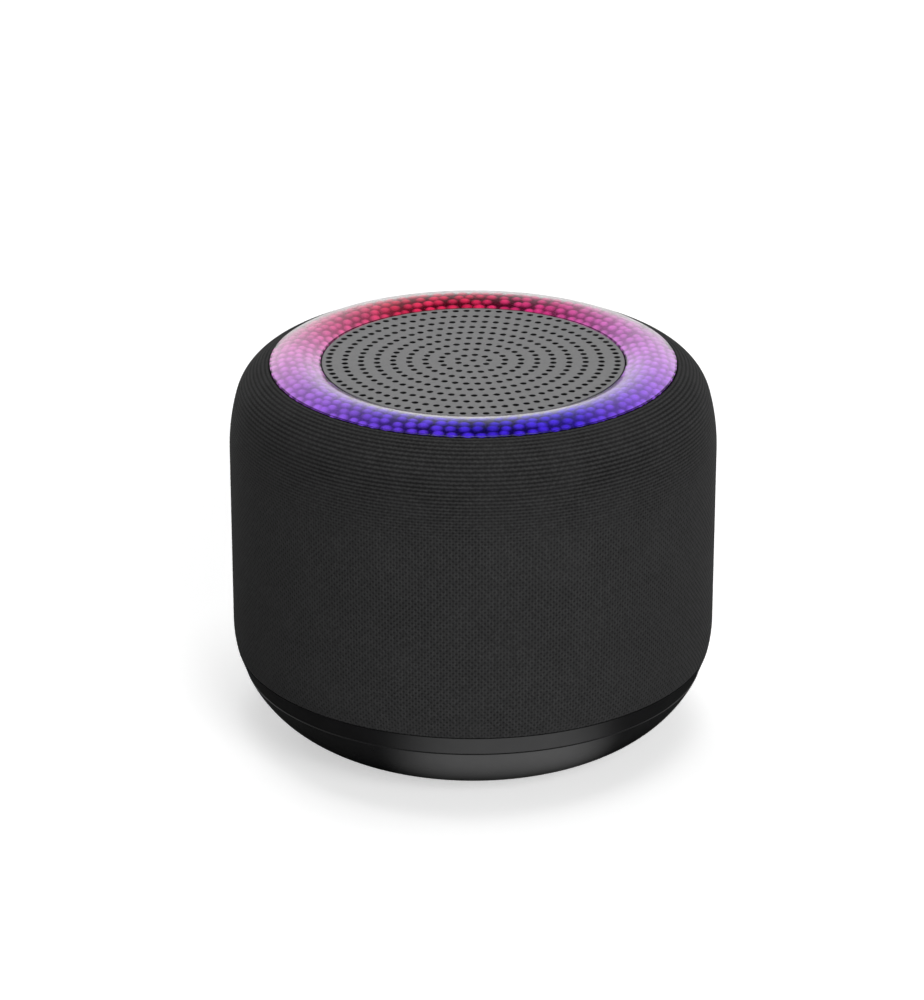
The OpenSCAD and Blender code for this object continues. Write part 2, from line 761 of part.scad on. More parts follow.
// Button: a cap in the panel, a rim behind it, and a stem to the switch
module button(k) {
    face = panel_face + button_proud;
    rim = button_r + run + button_rim;
    color("#333333") rearward(0, button_height(k)) rotate_extrude() polygon(concat(
        [[0, plunger_out], [0.9, plunger_out], [0.9, cap_back - 0.8], [rim, cap_back - 0.8],
         [rim, cap_back], [button_r, cap_back], [button_r, face - 0.4]],
        arc_points(button_r - 0.4, face - 0.4, 0.4, 20, 90, 4), [[0, face + 0.05]]));
}

// Plate that follows the body's curve at the rear, between two radii
module curved_plate(w, h, corner, r_in, r_out) {
    intersection() {
        rear_bar(w, h, corner, panel_z, body_r / 2, body_r + 5);
        tube(r_out, r_in, panel_z - h, panel_z + h);
    }
}

// Control panel: face in the barrel's opening and a rim behind the wall
module control_panel() {
    rim_h = panel_h + 2 * rim_w;
    color("#141414") difference() {
        union() {
            curved_plate(panel_w, panel_h, panel_corner, panel_back - 0.5, panel_face);
            curved_plate(panel_w + 2 * rim_w, rim_h, panel_corner + rim_w,
                         panel_back - rim_t, panel_back - 0.05);
        }
        for (k = [0 : len(BUTTONS) - 1])
            rearward(0, button_height(k)) rod(button_r + run, body_r / 2, body_r + 5);
        rear_bar(recess_w, recess_h, recess_h / 2 - 0.01, socket_z, recess_floor, body_r + 5);
        rear_bar(9.3, 3.6, 1.4, socket_z, body_r / 2, body_r + 5);
        rearward(-lamp_x, lamp_z) rod(0.8, body_r / 2, body_r + 5);
        rearward(lamp_x, lamp_z) rod(0.4, body_r / 2, body_r + 5);
    }
}

// ---------- Leads ----------

function unit(v) = v / norm(v);

// Point on a smooth curve through the route's points, t from 0 to its last index
function route_point(p, t) =
    let (n = len(p) - 1, k = min(floor(t), n - 1), s = t - k,
         a = p[max(k - 1, 0)], b = p[k], c = p[k + 1], d = p[min(k + 2, n)])
    0.5 * (2 * b + (c - a) * s + (2 * a - 5 * b + 4 * c - d) * s * s
           + (3 * b - a - 3 * c + d) * s * s * s);

// Round lead along a route: one polyhedron of 8-sided rings
module lead(route, side, steps = 5) {
    n = (len(route) - 1) * steps;
    centre = [for (k = [0 : n]) route_point(route, k / steps)];
    ring = [for (k = [0 : n])
        let (t = unit(centre[min(k + 1, n)] - centre[max(k - 1, 0)]),
             u = unit(cross(t, side)), v = cross(t, u))
        for (a = [0 : 45 : 315]) centre[k] + lead_d / 2 * (u * cos(a) + v * sin(a))];
    polyhedron(points = ring, faces = concat(
        [[for (j = [0 : 7]) j]], [[for (j = [7 : -1 : 0]) n * 8 + j]],
        [for (k = [0 : n - 1], j = [0 : 7])
            [k * 8 + j, (k + 1) * 8 + j, (k + 1) * 8 + (j + 1) % 8, k * 8 + (j + 1) % 8]]));
}

// A pair of leads side by side along X or along Z
module lead_pair(route, gap, side) {
    for (s = [-0.5, 0.5]) lead([for (p = route) p + gap * s], side);
}

// Middle of a lead socket, depth in front of the main board's inner face
function socket_at(k, depth) =
    [LEAD_SOCKETS[k][0], board_in - depth, board_z + LEAD_SOCKETS[k][1]];

module battery_leads() {
    start = [-cell_l / 2 - 2, 3, cell_z + 2];
    color("#b02020") lead_pair([start, start + [1.6, 6.5, 0.5], start + [6.8, 14, 0],
                                start + [14.6, 19.5, -0.5], socket_at(0, 5) - [6, 0, 0],
                                socket_at(0, 3), socket_at(0, 0.8)],
                               [0, 0, 1.8], [0, 0.3, 1]);
}

module driver_leads() {
    start = [0, step_r + basket_t + 3, basket_floor + 0.4];
    color("#202020") lead_pair([start, start + [1, 2.7, -0.4], start + [4, 6.2, -3.4],
                                start + [8, 8.2, -9.4], socket_at(1, 3.4) + [0, 0, 1.4],
                                socket_at(1, 0.8)],
                               [2.6, 0, 0], [1, 0.1, 0]);
}

module lamp_leads() {
    y = ring_in + skirt_t + 1.8;
    color("#e8e8e8") lead_pair([[0, y, baffle_top], [0, y, baffle_top - 2],
                                [0, y - 0.6, baffle_top - 4.5], socket_at(2, 3) + [0, 0, 1.5],
                                socket_at(2, 2.4) + [0, 0, 0.1], socket_at(2, 0.8)],
                               [2.2, 0, 0], [1, 0.1, 0]);
}

// ---------- Nodes ----------

fabric_sleeve();
barrel();
bottom_cover();
bottom_screws();
foot_ring();
grille_disc();
dust_cloth();
diffuser_ring();
reflector_ring();
lamp_board();
lamps();
top_baffle();
baffle_screws();
driver_basket();
driver_screws();
surround();
spider();
cone();
dust_cap();
coil_former();
coil_winding();
pole_plate();
ring_magnet();
yoke();
driver_terminals();
inner_frame();
frame_screws();
battery_cell();
battery_pads();
battery_guard_board();
main_board();
board_screws();
radio_chip();
amplifier_chip();
power_coils();
capacitors();
lead_sockets();
usb_shell();
usb_tongue();
status_lamp();
light_pipe();
microphone();
switch_bodies();
control_panel();
battery_leads();
driver_leads();
lamp_leads();
for (k = [0 : len(BUTTONS) - 1]) {
    button(k);
    switch_plunger(k);
}
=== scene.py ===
# A small round wireless speaker: a knitted cover over a moulded barrel, a lit ring
# round a perforated disc on top, a bowl-shaped base, and a control panel at the rear.
# Metres, +Z up, front towards -Y, the table at z = 0.

import math

import bmesh
import bpy
import numpy as np
from mathutils import Matrix, Vector


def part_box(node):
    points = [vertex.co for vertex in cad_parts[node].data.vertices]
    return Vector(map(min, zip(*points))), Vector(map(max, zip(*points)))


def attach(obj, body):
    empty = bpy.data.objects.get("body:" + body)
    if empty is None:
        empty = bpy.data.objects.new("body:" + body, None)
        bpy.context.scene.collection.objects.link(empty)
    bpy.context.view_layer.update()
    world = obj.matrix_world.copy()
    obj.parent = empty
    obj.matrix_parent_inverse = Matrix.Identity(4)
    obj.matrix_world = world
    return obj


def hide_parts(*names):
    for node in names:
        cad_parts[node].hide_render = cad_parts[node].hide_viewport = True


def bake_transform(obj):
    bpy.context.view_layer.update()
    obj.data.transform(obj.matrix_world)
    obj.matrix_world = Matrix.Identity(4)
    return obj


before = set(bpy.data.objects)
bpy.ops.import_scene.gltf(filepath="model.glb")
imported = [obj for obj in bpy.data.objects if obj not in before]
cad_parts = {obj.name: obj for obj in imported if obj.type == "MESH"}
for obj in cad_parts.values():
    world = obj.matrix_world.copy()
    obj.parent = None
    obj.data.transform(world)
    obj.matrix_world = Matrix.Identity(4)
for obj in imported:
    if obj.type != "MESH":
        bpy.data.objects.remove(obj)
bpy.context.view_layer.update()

# ---------------------------------------------------------------- studio
# A pale table, large soft lights from the front right and from above, and weak ones from
# the left and the back. The camera stands in front and looks down by 22.8 degrees.

mm = 0.001
body_r = 40.0 * mm
top_z = 64.0 * mm

tilt = math.radians(22.79)
aim_distance = 0.656
look = Vector((0, math.cos(tilt), -math.sin(tilt)))
camera_up = Vector((0, math.sin(tilt), math.cos(tilt)))
camera_data = bpy.data.cameras.new("camera")
camera_data.sensor_width = 36.0
camera_data.lens = 144.7
camera_data.clip_start = 0.01
camera_data.clip_end = 20.0
camera = bpy.data.objects.new("camera", camera_data)
camera.location = (Vector((0, 0, top_z)) - look * aim_distance
                   - Vector((0.00279 * aim_distance, 0, 0))
                   - camera_up * (0.03473 * aim_distance))
camera.rotation_euler = (math.pi / 2 - tilt, 0, 0)
bpy.context.scene.collection.objects.link(camera)
bpy.context.scene.camera = camera
bpy.context.scene.view_settings.view_transform = "Standard"


def link(obj):
    bpy.context.scene.collection.objects.link(obj)
    return obj


def soft_light(name, place, aim, size, power, tint=(1, 1, 1)):
    data = bpy.data.lights.new(name, "AREA")
    data.shape = "RECTANGLE"
    data.size, data.size_y = size
    data.energy = power
    data.color = tint
    lamp = link(bpy.data.objects.new(name, data))
    lamp.visible_glossy = False
    lamp.visible_transmission = False
    lamp.location = place
    lamp.rotation_euler = (Vector(aim) - Vector(place)).to_track_quat("-Z", "Y").to_euler()
    return lamp


middle = (0, 0, 0.035)
soft_light("key_light", (0.40, -0.84, 0.52), middle, (0.5, 0.5), 5.6)
soft_light("low_front_light", (0.14, -0.95, 0.13), middle, (0.5, 0.2), 2.6)
soft_light("fill_light", (-0.8, -0.45, 0.45), middle, (0.5, 0.6), 0.30)
soft_light("back_light", (-0.35, 0.95, 0.45), middle, (0.6, 0.5), 2.4)
soft_light("top_light", (0.05, 0.05, 1.0), middle, (0.7, 0.7), 4.6)


def new_node(tree, kind, inputs=(), **settings):
    """A shader node with its settings, its values and its links."""
    made = tree.nodes.new("ShaderNode" + kind)
    for key, value in settings.items():
        setattr(made, key, value)
    for key, value in dict(inputs).items():
        if isinstance(value, bpy.types.NodeSocket):
            tree.links.new(value, made.inputs[key])
        else:
            made.inputs[key].default_value = value
    return made


def ray_kinds(tree):
    """Two switches: 1 for a ray that shows the set (camera, gloss or glass), and 1 for a
    ray that shows it in gloss or through glass."""
    path = new_node(tree, "LightPath")
    mirrored = new_node(tree, "Math", {0: path.outputs["Is Glossy Ray"],
                                       1: path.outputs["Is Transmission Ray"]},
                        operation="ADD", use_clamp=True).outputs[0]
    shown = new_node(tree, "Math", {0: path.outputs["Is Camera Ray"], 1: mirrored},
                     operation="ADD", use_clamp=True).outputs[0]
    return shown, mirrored


# The backdrop is white to the camera. What gloss and glass show of it darkens overhead,
# as it does under a studio's dark ceiling.
world = bpy.data.worlds.new("studio")
world.use_nodes = True
bpy.context.scene.world = world
tree = world.node_tree
shown, mirrored = ray_kinds(tree)
height = new_node(tree, "SeparateXYZ", {0: new_node(tree, "TexCoord").outputs["Generated"]})
ceiling = new_node(tree, "MapRange", {"Value": height.outputs[2], "From Min": 0.25,
                                      "From Max": 0.93, "To Min": 0.88, "To Max": 0.0})
strength = new_node(tree, "Mix", {0: mirrored, 2: 1.0, 3: ceiling.outputs[0]}, data_type="FLOAT")
backdrop = tree.nodes["Background"]
backdrop.inputs["Color"].default_value = (1, 1, 1, 1)
tree.links.new(strength.outputs[0], backdrop.inputs["Strength"])
ambient = new_node(tree, "Background", {"Color": (1, 1, 1, 1), "Strength": 0.11})
mix = new_node(tree, "MixShader", {0: shown, 1: ambient.outputs[0], 2: backdrop.outputs[0]})
tree.links.new(mix.outputs[0], tree.nodes["World Output"].inputs["Surface"])

# The table is white where it is seen and a mid grey in the light that it throws back, and
# the gloss of the base shows a painted soft pool of light in front of the speaker, with a painted
# shadow close round the foot, fading towards the sides and far off.
table_mat = bpy.data.materials.new("pale_table")
table_mat.use_nodes = True
tree = table_mat.node_tree
shown, mirrored = ray_kinds(tree)
surface = tree.nodes["Principled BSDF"]
surface.inputs["Base Color"].default_value = (0.82, 0.82, 0.82, 1)
surface.inputs["Roughness"].default_value = 0.9
surface.inputs["Specular IOR Level"].default_value = 0.0
dim = new_node(tree, "BsdfDiffuse", {"Color": (0.30, 0.30, 0.30, 1)})
lift = new_node(tree, "Emission", {"Strength": 0.50})
lit = new_node(tree, "AddShader", {0: surface.outputs[0], 1: lift.outputs[0]})
spot = new_node(tree, "TexCoord").outputs["Object"]
where = new_node(tree, "VectorMath", {0: spot}, operation="NORMALIZE")
away = new_node(tree, "VectorMath", {0: spot}, operation="LENGTH")
toward = new_node(tree, "VectorMath", {0: where.outputs[0], 1: (0.18, -0.984, 0)},
                  operation="DOT_PRODUCT")
side_fade = new_node(tree, "MapRange", {"Value": toward.outputs["Value"], "From Min": 0.76,
                                        "From Max": 1.0, "To Min": 0.03, "To Max": 1.0},
                     interpolation_type="SMOOTHSTEP")
# Painted shadow: the pool is nearly black within about 28 mm of the middle, round the foot.
painted_foot_shadow = new_node(tree, "MapRange", {"Value": away.outputs["Value"], "From Min": 28 * mm,
                                        "From Max": 42 * mm, "To Min": 0.03, "To Max": 1.08},
                     interpolation_type="SMOOTHSTEP")
outer_fade = new_node(tree, "MapRange", {"Value": away.outputs["Value"], "From Min": 46 * mm,
                                         "From Max": 66 * mm, "To Min": 1.0, "To Max": 0.36},
                      interpolation_type="SMOOTHSTEP")
near_pool = new_node(tree, "Math", {0: side_fade.outputs[0], 1: painted_foot_shadow.outputs[0]},
                     operation="MULTIPLY")
near_pool = new_node(tree, "Math", {0: near_pool.outputs[0], 1: outer_fade.outputs[0]},
                     operation="MULTIPLY")
open_table = new_node(tree, "MapRange", {"Value": away.outputs["Value"], "From Min": 95 * mm,
                                         "From Max": 170 * mm, "To Min": 0.0, "To Max": 0.85})
pool = new_node(tree, "Math", {0: near_pool.outputs[0], 1: open_table.outputs[0]},
                operation="MAXIMUM")
painted_pool_glow = new_node(tree, "Emission", {"Strength": pool.outputs[0]})
plain = new_node(tree, "MixShader", {0: shown, 1: dim.outputs[0], 2: lit.outputs[0]})
mix = new_node(tree, "MixShader", {0: mirrored, 1: plain.outputs[0], 2: painted_pool_glow.outputs[0]})
tree.links.new(mix.outputs[0], tree.nodes["Material Output"].inputs["Surface"])

bm = bmesh.new()
bmesh.ops.create_circle(bm, cap_ends=True, segments=64, radius=6.0)
table_mesh = bpy.data.meshes.new("table_top")
bm.to_mesh(table_mesh)
bm.free()
table_mesh.materials.append(table_mat)
table = link(bpy.data.objects.new("table_top", table_mesh))

# ---------------------------------------------------------------- bottom cover
# The bowl that closes the bottom, injection moulded in black ABS with a fine satin
# surface. Its rim steps inside the barrel, and a groove round the flat bottom holds
# the rubber ring.

bowl_r = 19.0 * mm
bowl_cx = body_r - bowl_r
bowl_z = 19.2 * mm
seam_z = 11.3 * mm
foot_proud = 0.8 * mm


def arc(cx, cz, r, start, end, steps):
    """Points (r, z) on an arc, angles in degrees."""
    return [(cx + r * math.cos(math.radians(start + (end - start) * k / steps)),
             cz + r * math.sin(math.radians(start + (end - start) * k / steps)))
            for k in range(steps + 1)]


def bowl_angle(z, inset=0.0):
    """Angle in degrees on the bowl's arc at height z."""
    return math.degrees(math.asin((z - bowl_z) / (bowl_r - inset)))


def spun(name, outline, steps=192, closed=True, sharp=40.0):
    """A turned shape from an outline of (r, z) points, with smooth faces."""
    bm = bmesh.new()
    ring = [bm.verts.new((r, 0, z)) for r, z in outline]
    edges = [bm.edges.new(pair) for pair in zip(ring, ring[1:])]
    if closed:
        edges.append(bm.edges.new((ring[-1], ring[0])))
    bmesh.ops.spin(bm, geom=ring + edges, cent=(0, 0, 0), axis=(0, 0, 1),
                   angle=2 * math.pi, steps=steps, use_merge=True)
    bmesh.ops.remove_doubles(bm, verts=bm.verts[:], dist=1e-6)
    bmesh.ops.recalc_face_normals(bm, faces=bm.faces[:])
    return finished(name, bm, sharp)


def finished(name, bm, sharp=40.0):
    """Turns a bmesh into an object with smooth faces and sharp creases."""
    for face in bm.faces:
        face.smooth = True
    for edge in bm.edges:
        if len(edge.link_faces) == 2 and edge.calc_face_angle(0) > math.radians(sharp):
            edge.smooth = False
    mesh = bpy.data.meshes.new(name)
    bm.to_mesh(mesh)
    bm.free()
    return link(bpy.data.objects.new(name, mesh))


class Finish:
    """A principled material and the few nodes that this object's finishes share."""

    def __init__(self, name):
        self.mat = bpy.data.materials.new(name)
        self.mat.use_nodes = True
        self.tree = self.mat.node_tree
        self.shader = self.tree.nodes["Principled BSDF"]
        self.place = self.tree.nodes.new("ShaderNodeTexCoord").outputs["Object"]

    def set(self, **values):
        for key, value in values.items():
            self.shader.inputs[key.replace("_", " ")].default_value = value
        return self

    def node(self, kind, inputs=(), **settings):
        return new_node(self.tree, kind, inputs, **settings)

    def math(self, operation, a, b=0.0, c=0.0):
        return self.node("Math", {0: a, 1: b, 2: c}, operation=operation).outputs[0]

    def noise(self, scale, detail=3.0, rough=0.5, place=None):
        return self.node("TexNoise", {"Vector": place or self.place, "Scale": scale,
                                      "Detail": detail, "Roughness": rough}).outputs["Fac"]

    def ramp(self, value, *stops):
        """A colour ramp; each stop is a place and a colour."""
        made = self.node("ValToRGB", {"Fac": value})
        elements = made.color_ramp.elements
        while len(elements) < len(stops):
            elements.new(0.5)
        for element, (place, colour) in zip(elements, stops):
            element.position = place
            element.color = (*colour, 1) if len(colour) == 3 else colour
        return made.outputs["Color"]

    def spread(self, value, low, high, start=0.3, end=0.7):
        """value from start..end spread over low..high."""
        return self.node("MapRange", {"Value": value, "From Min": start, "From Max": end,
                                      "To Min": low, "To Max": high}).outputs[0]

    def link(self, socket, value):
        self.tree.links.new(value, self.shader.inputs[socket])
        return self

    def bump(self, height, depth, strength=1.0, after=None):
        inputs = {"Height": height, "Distance": depth, "Strength": strength}
        if after is not None:
            inputs["Normal"] = after
        return self.node("Bump", inputs).outputs[0]

    def grain(self, scale, depth):
        """Fine moulded or cast surface grain."""
        return self.link("Normal", self.bump(self.noise(scale, 4.0, 0.6), depth))

    def mottle(self, dark, pale, scale, rough=None, low=0.3, high=0.7):
        """Colour that drifts between two tones, and roughness between two values."""
        drift = self.noise(scale, 4.0)
        self.link("Base Color", self.ramp(drift, (low, dark), (high, pale)))
        if rough:
            self.link("Roughness", self.spread(self.noise(scale * 1.7, 3.0), *rough))
        return self


def paint(mat, *nodes):
    """Gives carried-over CAD nodes a finish."""
    for name in nodes:
        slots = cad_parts[name].data.materials
        slots.clear()
        slots.append(mat.mat if isinstance(mat, Finish) else mat)


def dress(obj, mat, body="housing"):
    """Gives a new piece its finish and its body."""
    obj.data.materials.append(mat.mat if isinstance(mat, Finish) else mat)
    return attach(obj, body)


satin_black = Finish("satin_black_abs").set(IOR=1.56)
satin_black.mottle((0.0075, 0.0075, 0.008), (0.0105, 0.0105, 0.011), 260.0, rough=(0.27, 0.34))
satin_black.grain(5200.0, 0.000004)

wall = 2.0 * mm
foot_in, foot_out = 15.0 * mm, 24.0 * mm
flat_r = bowl_cx + bowl_r * math.cos(math.radians(bowl_angle(foot_proud)))
outer_bowl = arc(bowl_cx, bowl_z, bowl_r, bowl_angle(foot_proud), bowl_angle(seam_z - 0.1 * mm), 40)
inner_bowl = arc(bowl_cx, bowl_z, bowl_r - wall, bowl_angle(seam_z - 1 * mm, wall),
                 bowl_angle(foot_proud + wall, wall), 24)
rim_r = outer_bowl[-1][0]
tongue_r = 35.2 * mm
groove = 0.8 * mm
cover_outline = (
    [(0, foot_proud), (foot_in - 0.15 * mm, foot_proud),
     (foot_in - 0.15 * mm, foot_proud + groove),
     (foot_out + 0.15 * mm, foot_proud + groove), (foot_out + 0.15 * mm, foot_proud)]
    + outer_bowl
    + [(rim_r - 0.1 * mm, seam_z), (tongue_r, seam_z), (tongue_r, seam_z + 2.5 * mm),
       (tongue_r - 1.2 * mm, seam_z + 2.5 * mm), (tongue_r - 1.2 * mm, seam_z - 1 * mm)]
    + inner_bowl + [(0, foot_proud + wall)])
bowl = dress(spun("bottom_bowl", cover_outline, closed=False), satin_black)
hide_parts("bottom_cover")

# ---------------------------------------------------------------- foot ring
# Moulded silicone rubber, pressed into the groove with a bead of glue. Its underside
# has rounded edges, and a fine matt grain.

rubber = Finish("black_rubber").set(IOR=1.45)
rubber.mottle((0.012, 0.012, 0.012), (0.019, 0.019, 0.019), 320.0, rough=(0.62, 0.75))
rubber.grain(3800.0, 0.00001)
foot_outline = (arc(foot_out - 0.4 * mm, 0.4 * mm, 0.4 * mm, -90, 0, 5)
                + [(foot_out, foot_proud + groove), (foot_in, foot_proud + groove)]
                + arc(foot_in + 0.4 * mm, 0.4 * mm, 0.4 * mm, 180, 270, 5))
foot = dress(spun("foot_pad_ring", foot_outline), rubber)
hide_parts("foot_ring")

# ---------------------------------------------------------------- screws
# Zinc-plated steel, pan heads with a cross recess: under the bottom cover, under the
# deck, in the baffle, round the driver and on the main board.

zinc = Finish("zinc_plated_steel").set(Metallic=1.0)
zinc.mottle((0.46, 0.46, 0.45), (0.66, 0.66, 0.63), 900.0, rough=(0.24, 0.42))
zinc.grain(9000.0, 0.000003)
paint(zinc, "bottom_screws", "frame_screws", "baffle_screws", "driver_screws", "board_screws")

# ---------------------------------------------------------------- barrel
# The enclosure's wall, moulded in black ABS. Only a smooth band below the cover's lower
# edge stays bare; the rest carries the knitted cover.

band_black = Finish("black_abs_band").set(IOR=1.46)
band_black.mottle((0.0068, 0.0068, 0.0072), (0.0095, 0.0095, 0.010), 240.0, rough=(0.33, 0.40))
band_black.grain(5200.0, 0.000004)
paint(band_black, "barrel")

# ---------------------------------------------------------------- knitted cover
# One tube of open polyester knit, stretched over the barrel and glued, turned in over
# the barrel's lip and cut out round the control panel. Every second loop in a course
# leaves a hole, and the courses open up over the shoulder.

fabric_t = 0.6 * mm
fabric_z = 14.8 * mm
sweep_r, sweep_a = 33.0 * mm, 15.5
sweep_cx, sweep_z = body_r - sweep_r, top_z - 14.5 * mm
shoulder_r = 8.0 * mm
shoulder_cx = sweep_cx + (sweep_r - shoulder_r) * math.cos(math.radians(sweep_a))
shoulder_z = sweep_z + (sweep_r - shoulder_r) * math.sin(math.radians(sweep_a))
hem_in = 33.4 * mm
columns = 502
relief = 0.035 * mm


def side_path(inset, z0, r1, steps):
    """The body's outline moved in by inset, from height z0 up to radius r1."""
    end = math.degrees(math.acos((r1 - shoulder_cx) / (shoulder_r - inset)))
    return (arc(bowl_cx, bowl_z, bowl_r - inset, bowl_angle(z0, inset), 0, steps)
            + arc(sweep_cx, sweep_z, sweep_r - inset, 0, sweep_a, steps)
            + arc(shoulder_cx, shoulder_z, shoulder_r - inset, sweep_a, end, 2 * steps)[1:])


def resample(path, spacing):
    """Points along a path; spacing(share of the length) gives the step to the next."""
    points = np.array(path)
    length = np.concatenate([[0], np.cumsum(np.linalg.norm(np.diff(points, axis=0), axis=1))])
    total, at, places = length[-1], 0.0, [0.0]
    while at < total:
        at += spacing(at / total)
        places.append(at)
    places = np.array(places) * total / places[-1]
    return np.stack([np.interp(places, length, points[:, k]) for k in (0, 1)], axis=1)


def course_height(share):
    """Height of a course: even on the side, taller where the knit is pulled over the top."""
    pull = min(max((share - 0.66) / 0.24, 0), 1)
    return (0.485 + 0.24 * pull * pull * (3 - 2 * pull)) * mm


outside = side_path(0, fabric_z, hem_in, 60)
hem_drop = [(hem_in, outside[-1][1] - d * mm) for d in (0.5, 1.0, 1.5)]
courses = resample(outside + hem_drop, course_height)
inside = resample(side_path(fabric_t - 0.03 * mm, fabric_z, hem_in + fabric_t - 0.03 * mm, 30)
                  + [(hem_in + fabric_t - 0.03 * mm, hem_drop[-1][1])], lambda share: 2.2 * mm)

bm = bmesh.new()
course_of = bm.verts.layers.int.new("course")
line = []
for k, (r, z) in enumerate(list(courses) + list(inside[::-1])):
    v = bm.verts.new((r, 0, z))
    v[course_of] = k
    line.append(v)
edges = [bm.edges.new((line[k - 1], line[k])) for k in range(len(line))]
bmesh.ops.spin(bm, geom=line + edges, cent=(0, 0, 0), axis=(0, 0, 1),
               angle=2 * math.pi, steps=columns, use_merge=True)
bmesh.ops.remove_doubles(bm, verts=bm.verts[:], dist=1e-6)
bmesh.ops.recalc_face_normals(bm, faces=bm.faces[:])
bm.normal_update()
knit_map = bm.loops.layers.uv.new("knit")


def column_at(co):
    return round((math.atan2(co.y, co.x) / (2 * math.pi)) % 1 * columns) % columns


for face in bm.faces:
    spots = [(column_at(loop.vert.co), loop) for loop in face.loops]
    wraps = max(s[0] for s in spots) - min(s[0] for s in spots) > 2
    for column, loop in spots:
        if wraps and column < 2:
            column += columns
        loop[knit_map].uv = (column, loop.vert[course_of])
moves = [(v, v.normal.copy() * relief * (1 if (column_at(v.co) + v[course_of]) % 2 else -1))
         for v in bm.verts if 0 < v[course_of] < len(courses) - 1]
for v, move in moves:
    v.co += move
cover = finished("knit_cover", bm, 60.0)

panel_z = 33.0 * mm
panel_w, panel_h, panel_corner = 15.6 * mm, 35.8 * mm, 5.0 * mm


def rounded_slab(w, h, corner, y0, y1, z, steps=10):
    """A block with rounded corners, standing upright and running from y0 to y1."""
    bm = bmesh.new()
    bmesh.ops.create_grid(bm, x_segments=1, y_segments=1, size=0.5)
    bmesh.ops.scale(bm, vec=(w, h, 1), verts=bm.verts[:])
    bmesh.ops.rotate(bm, cent=(0, 0, 0), matrix=Matrix.Rotation(math.pi / 2, 3, "X"),
                     verts=bm.verts[:])
    bmesh.ops.bevel(bm, geom=bm.verts[:], offset=corner, offset_type="OFFSET",
                    affect="VERTICES", segments=steps, profile=0.5, material=-1)
    bmesh.ops.translate(bm, vec=(0, y0, z), verts=bm.verts[:])
    made = bmesh.ops.extrude_face_region(bm, geom=bm.faces[:])
    bmesh.ops.translate(bm, vec=(0, y1 - y0, 0),
                        verts=[g for g in made["geom"] if isinstance(g, bmesh.types.BMVert)])
    bmesh.ops.recalc_face_normals(bm, faces=bm.faces[:])
    return bm


cutter = finished("panel_cut", rounded_slab(panel_w + 0.24 * mm, panel_h + 0.24 * mm,
                                            panel_corner + 0.12 * mm, 20 * mm, 60 * mm, panel_z))
cut = cover.modifiers.new("panel_opening", "BOOLEAN")
cut.operation = "DIFFERENCE"
cut.object = cutter
cut.solver = "EXACT"
bpy.context.view_layer.update()
cut_mesh = bpy.data.meshes.new_from_object(cover.evaluated_get(bpy.context.evaluated_depsgraph_get()))
cover.modifiers.clear()
cover.data = cut_mesh
bpy.data.objects.remove(cutter)

knit = Finish("charcoal_knit")
knit.set(Specular_IOR_Level=0.12, Sheen_Weight=0.03, Sheen_Roughness=0.5)
loops = knit.node("UVMap", uv_map="knit").outputs["UV"]
split = knit.node("SeparateXYZ", {0: loops})
across = knit.math("COSINE", knit.math("MULTIPLY", split.outputs[0], math.pi))
along = knit.math("COSINE", knit.math("MULTIPLY", split.outputs[1], math.pi))
lattice = knit.math("MULTIPLY", across, along)
fibre = knit.noise(5200.0, 3.0, 0.7)
drift = knit.noise(90.0, 3.0)
pulled = knit.spread(split.outputs[1], 0.0, 1.0, 0.66 * len(courses), 0.84 * len(courses))
course_gap = knit.math("POWER", knit.spread(knit.math("COSINE", knit.math(
    "MULTIPLY", split.outputs[1], 2 * math.pi)), 0.0, 1.0, -1.0, 1.0), 1.5)
rib_gap = knit.math("POWER", knit.spread(knit.math("COSINE", knit.math(
    "MULTIPLY", split.outputs[0], 2 * math.pi)), 0.0, 1.0, -1.0, 1.0), 2.0)
closed_knit = knit.math("MAXIMUM", knit.spread(lattice, 0.0, 0.85, 0.0, 1.0),
                        knit.math("MULTIPLY", rib_gap, 0.30))
open_knit = knit.math("MAXIMUM", knit.spread(lattice, 0.0, 1.0, 0.0, 1.0),
                      knit.math("MULTIPLY", course_gap, 0.90))
holes = knit.node("Mix", {0: pulled, 2: closed_knit, 3: open_knit}, data_type="FLOAT").outputs[0]
holes = knit.math("MULTIPLY", holes, knit.spread(knit.noise(170.0, 2.0), 0.72, 1.0))
loop_at = knit.node("VectorMath", {0: loops}, operation="FLOOR").outputs[0]
loop_tone = knit.node("TexWhiteNoise", {"Vector": loop_at}, noise_dimensions="3D").outputs["Value"]
yarn_tone = knit.ramp(fibre, (0.25, (0.026, 0.026, 0.027)), (0.75, (0.054, 0.054, 0.054)))
drifted = knit.node("Mix", {0: knit.spread(drift, 0.0, 0.25), 6: yarn_tone,
                            7: (0.03, 0.03, 0.031, 1)}, data_type="RGBA").outputs[2]
drifted = knit.node("Mix", {0: knit.spread(loop_tone, 0.0, 0.34, 0.0, 1.0), 6: drifted,
                            7: (0.010, 0.010, 0.010, 1)}, data_type="RGBA").outputs[2]
knit.link("Base Color", knit.node("Mix", {0: holes, 6: drifted, 7: (0.004, 0.004, 0.004, 1)},
                                  data_type="RGBA").outputs[2])
knit.link("Roughness", knit.spread(fibre, 0.72, 0.92))
loft = knit.math("SUBTRACT", knit.math("MULTIPLY", fibre, 0.25), holes)
knit.link("Normal", knit.bump(loft, 0.00009, 0.9))
dress(cover, knit)
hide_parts("fabric_sleeve")

# ---------------------------------------------------------------- inner frame and cell
# A glass-filled nylon deck with posts and ribs holds the round cell against two
# saddles. The cell has a blue shrink sleeve, a guard board on its flat end, and foam
# strips under and over it.

frame_nylon = Finish("dark_glass_nylon").set(IOR=1.5)
frame_nylon.mottle((0.022, 0.022, 0.024), (0.038, 0.038, 0.041), 420.0, rough=(0.45, 0.6))
frame_nylon.grain(3000.0, 0.000012)
paint(frame_nylon, "inner_frame", "top_baffle")

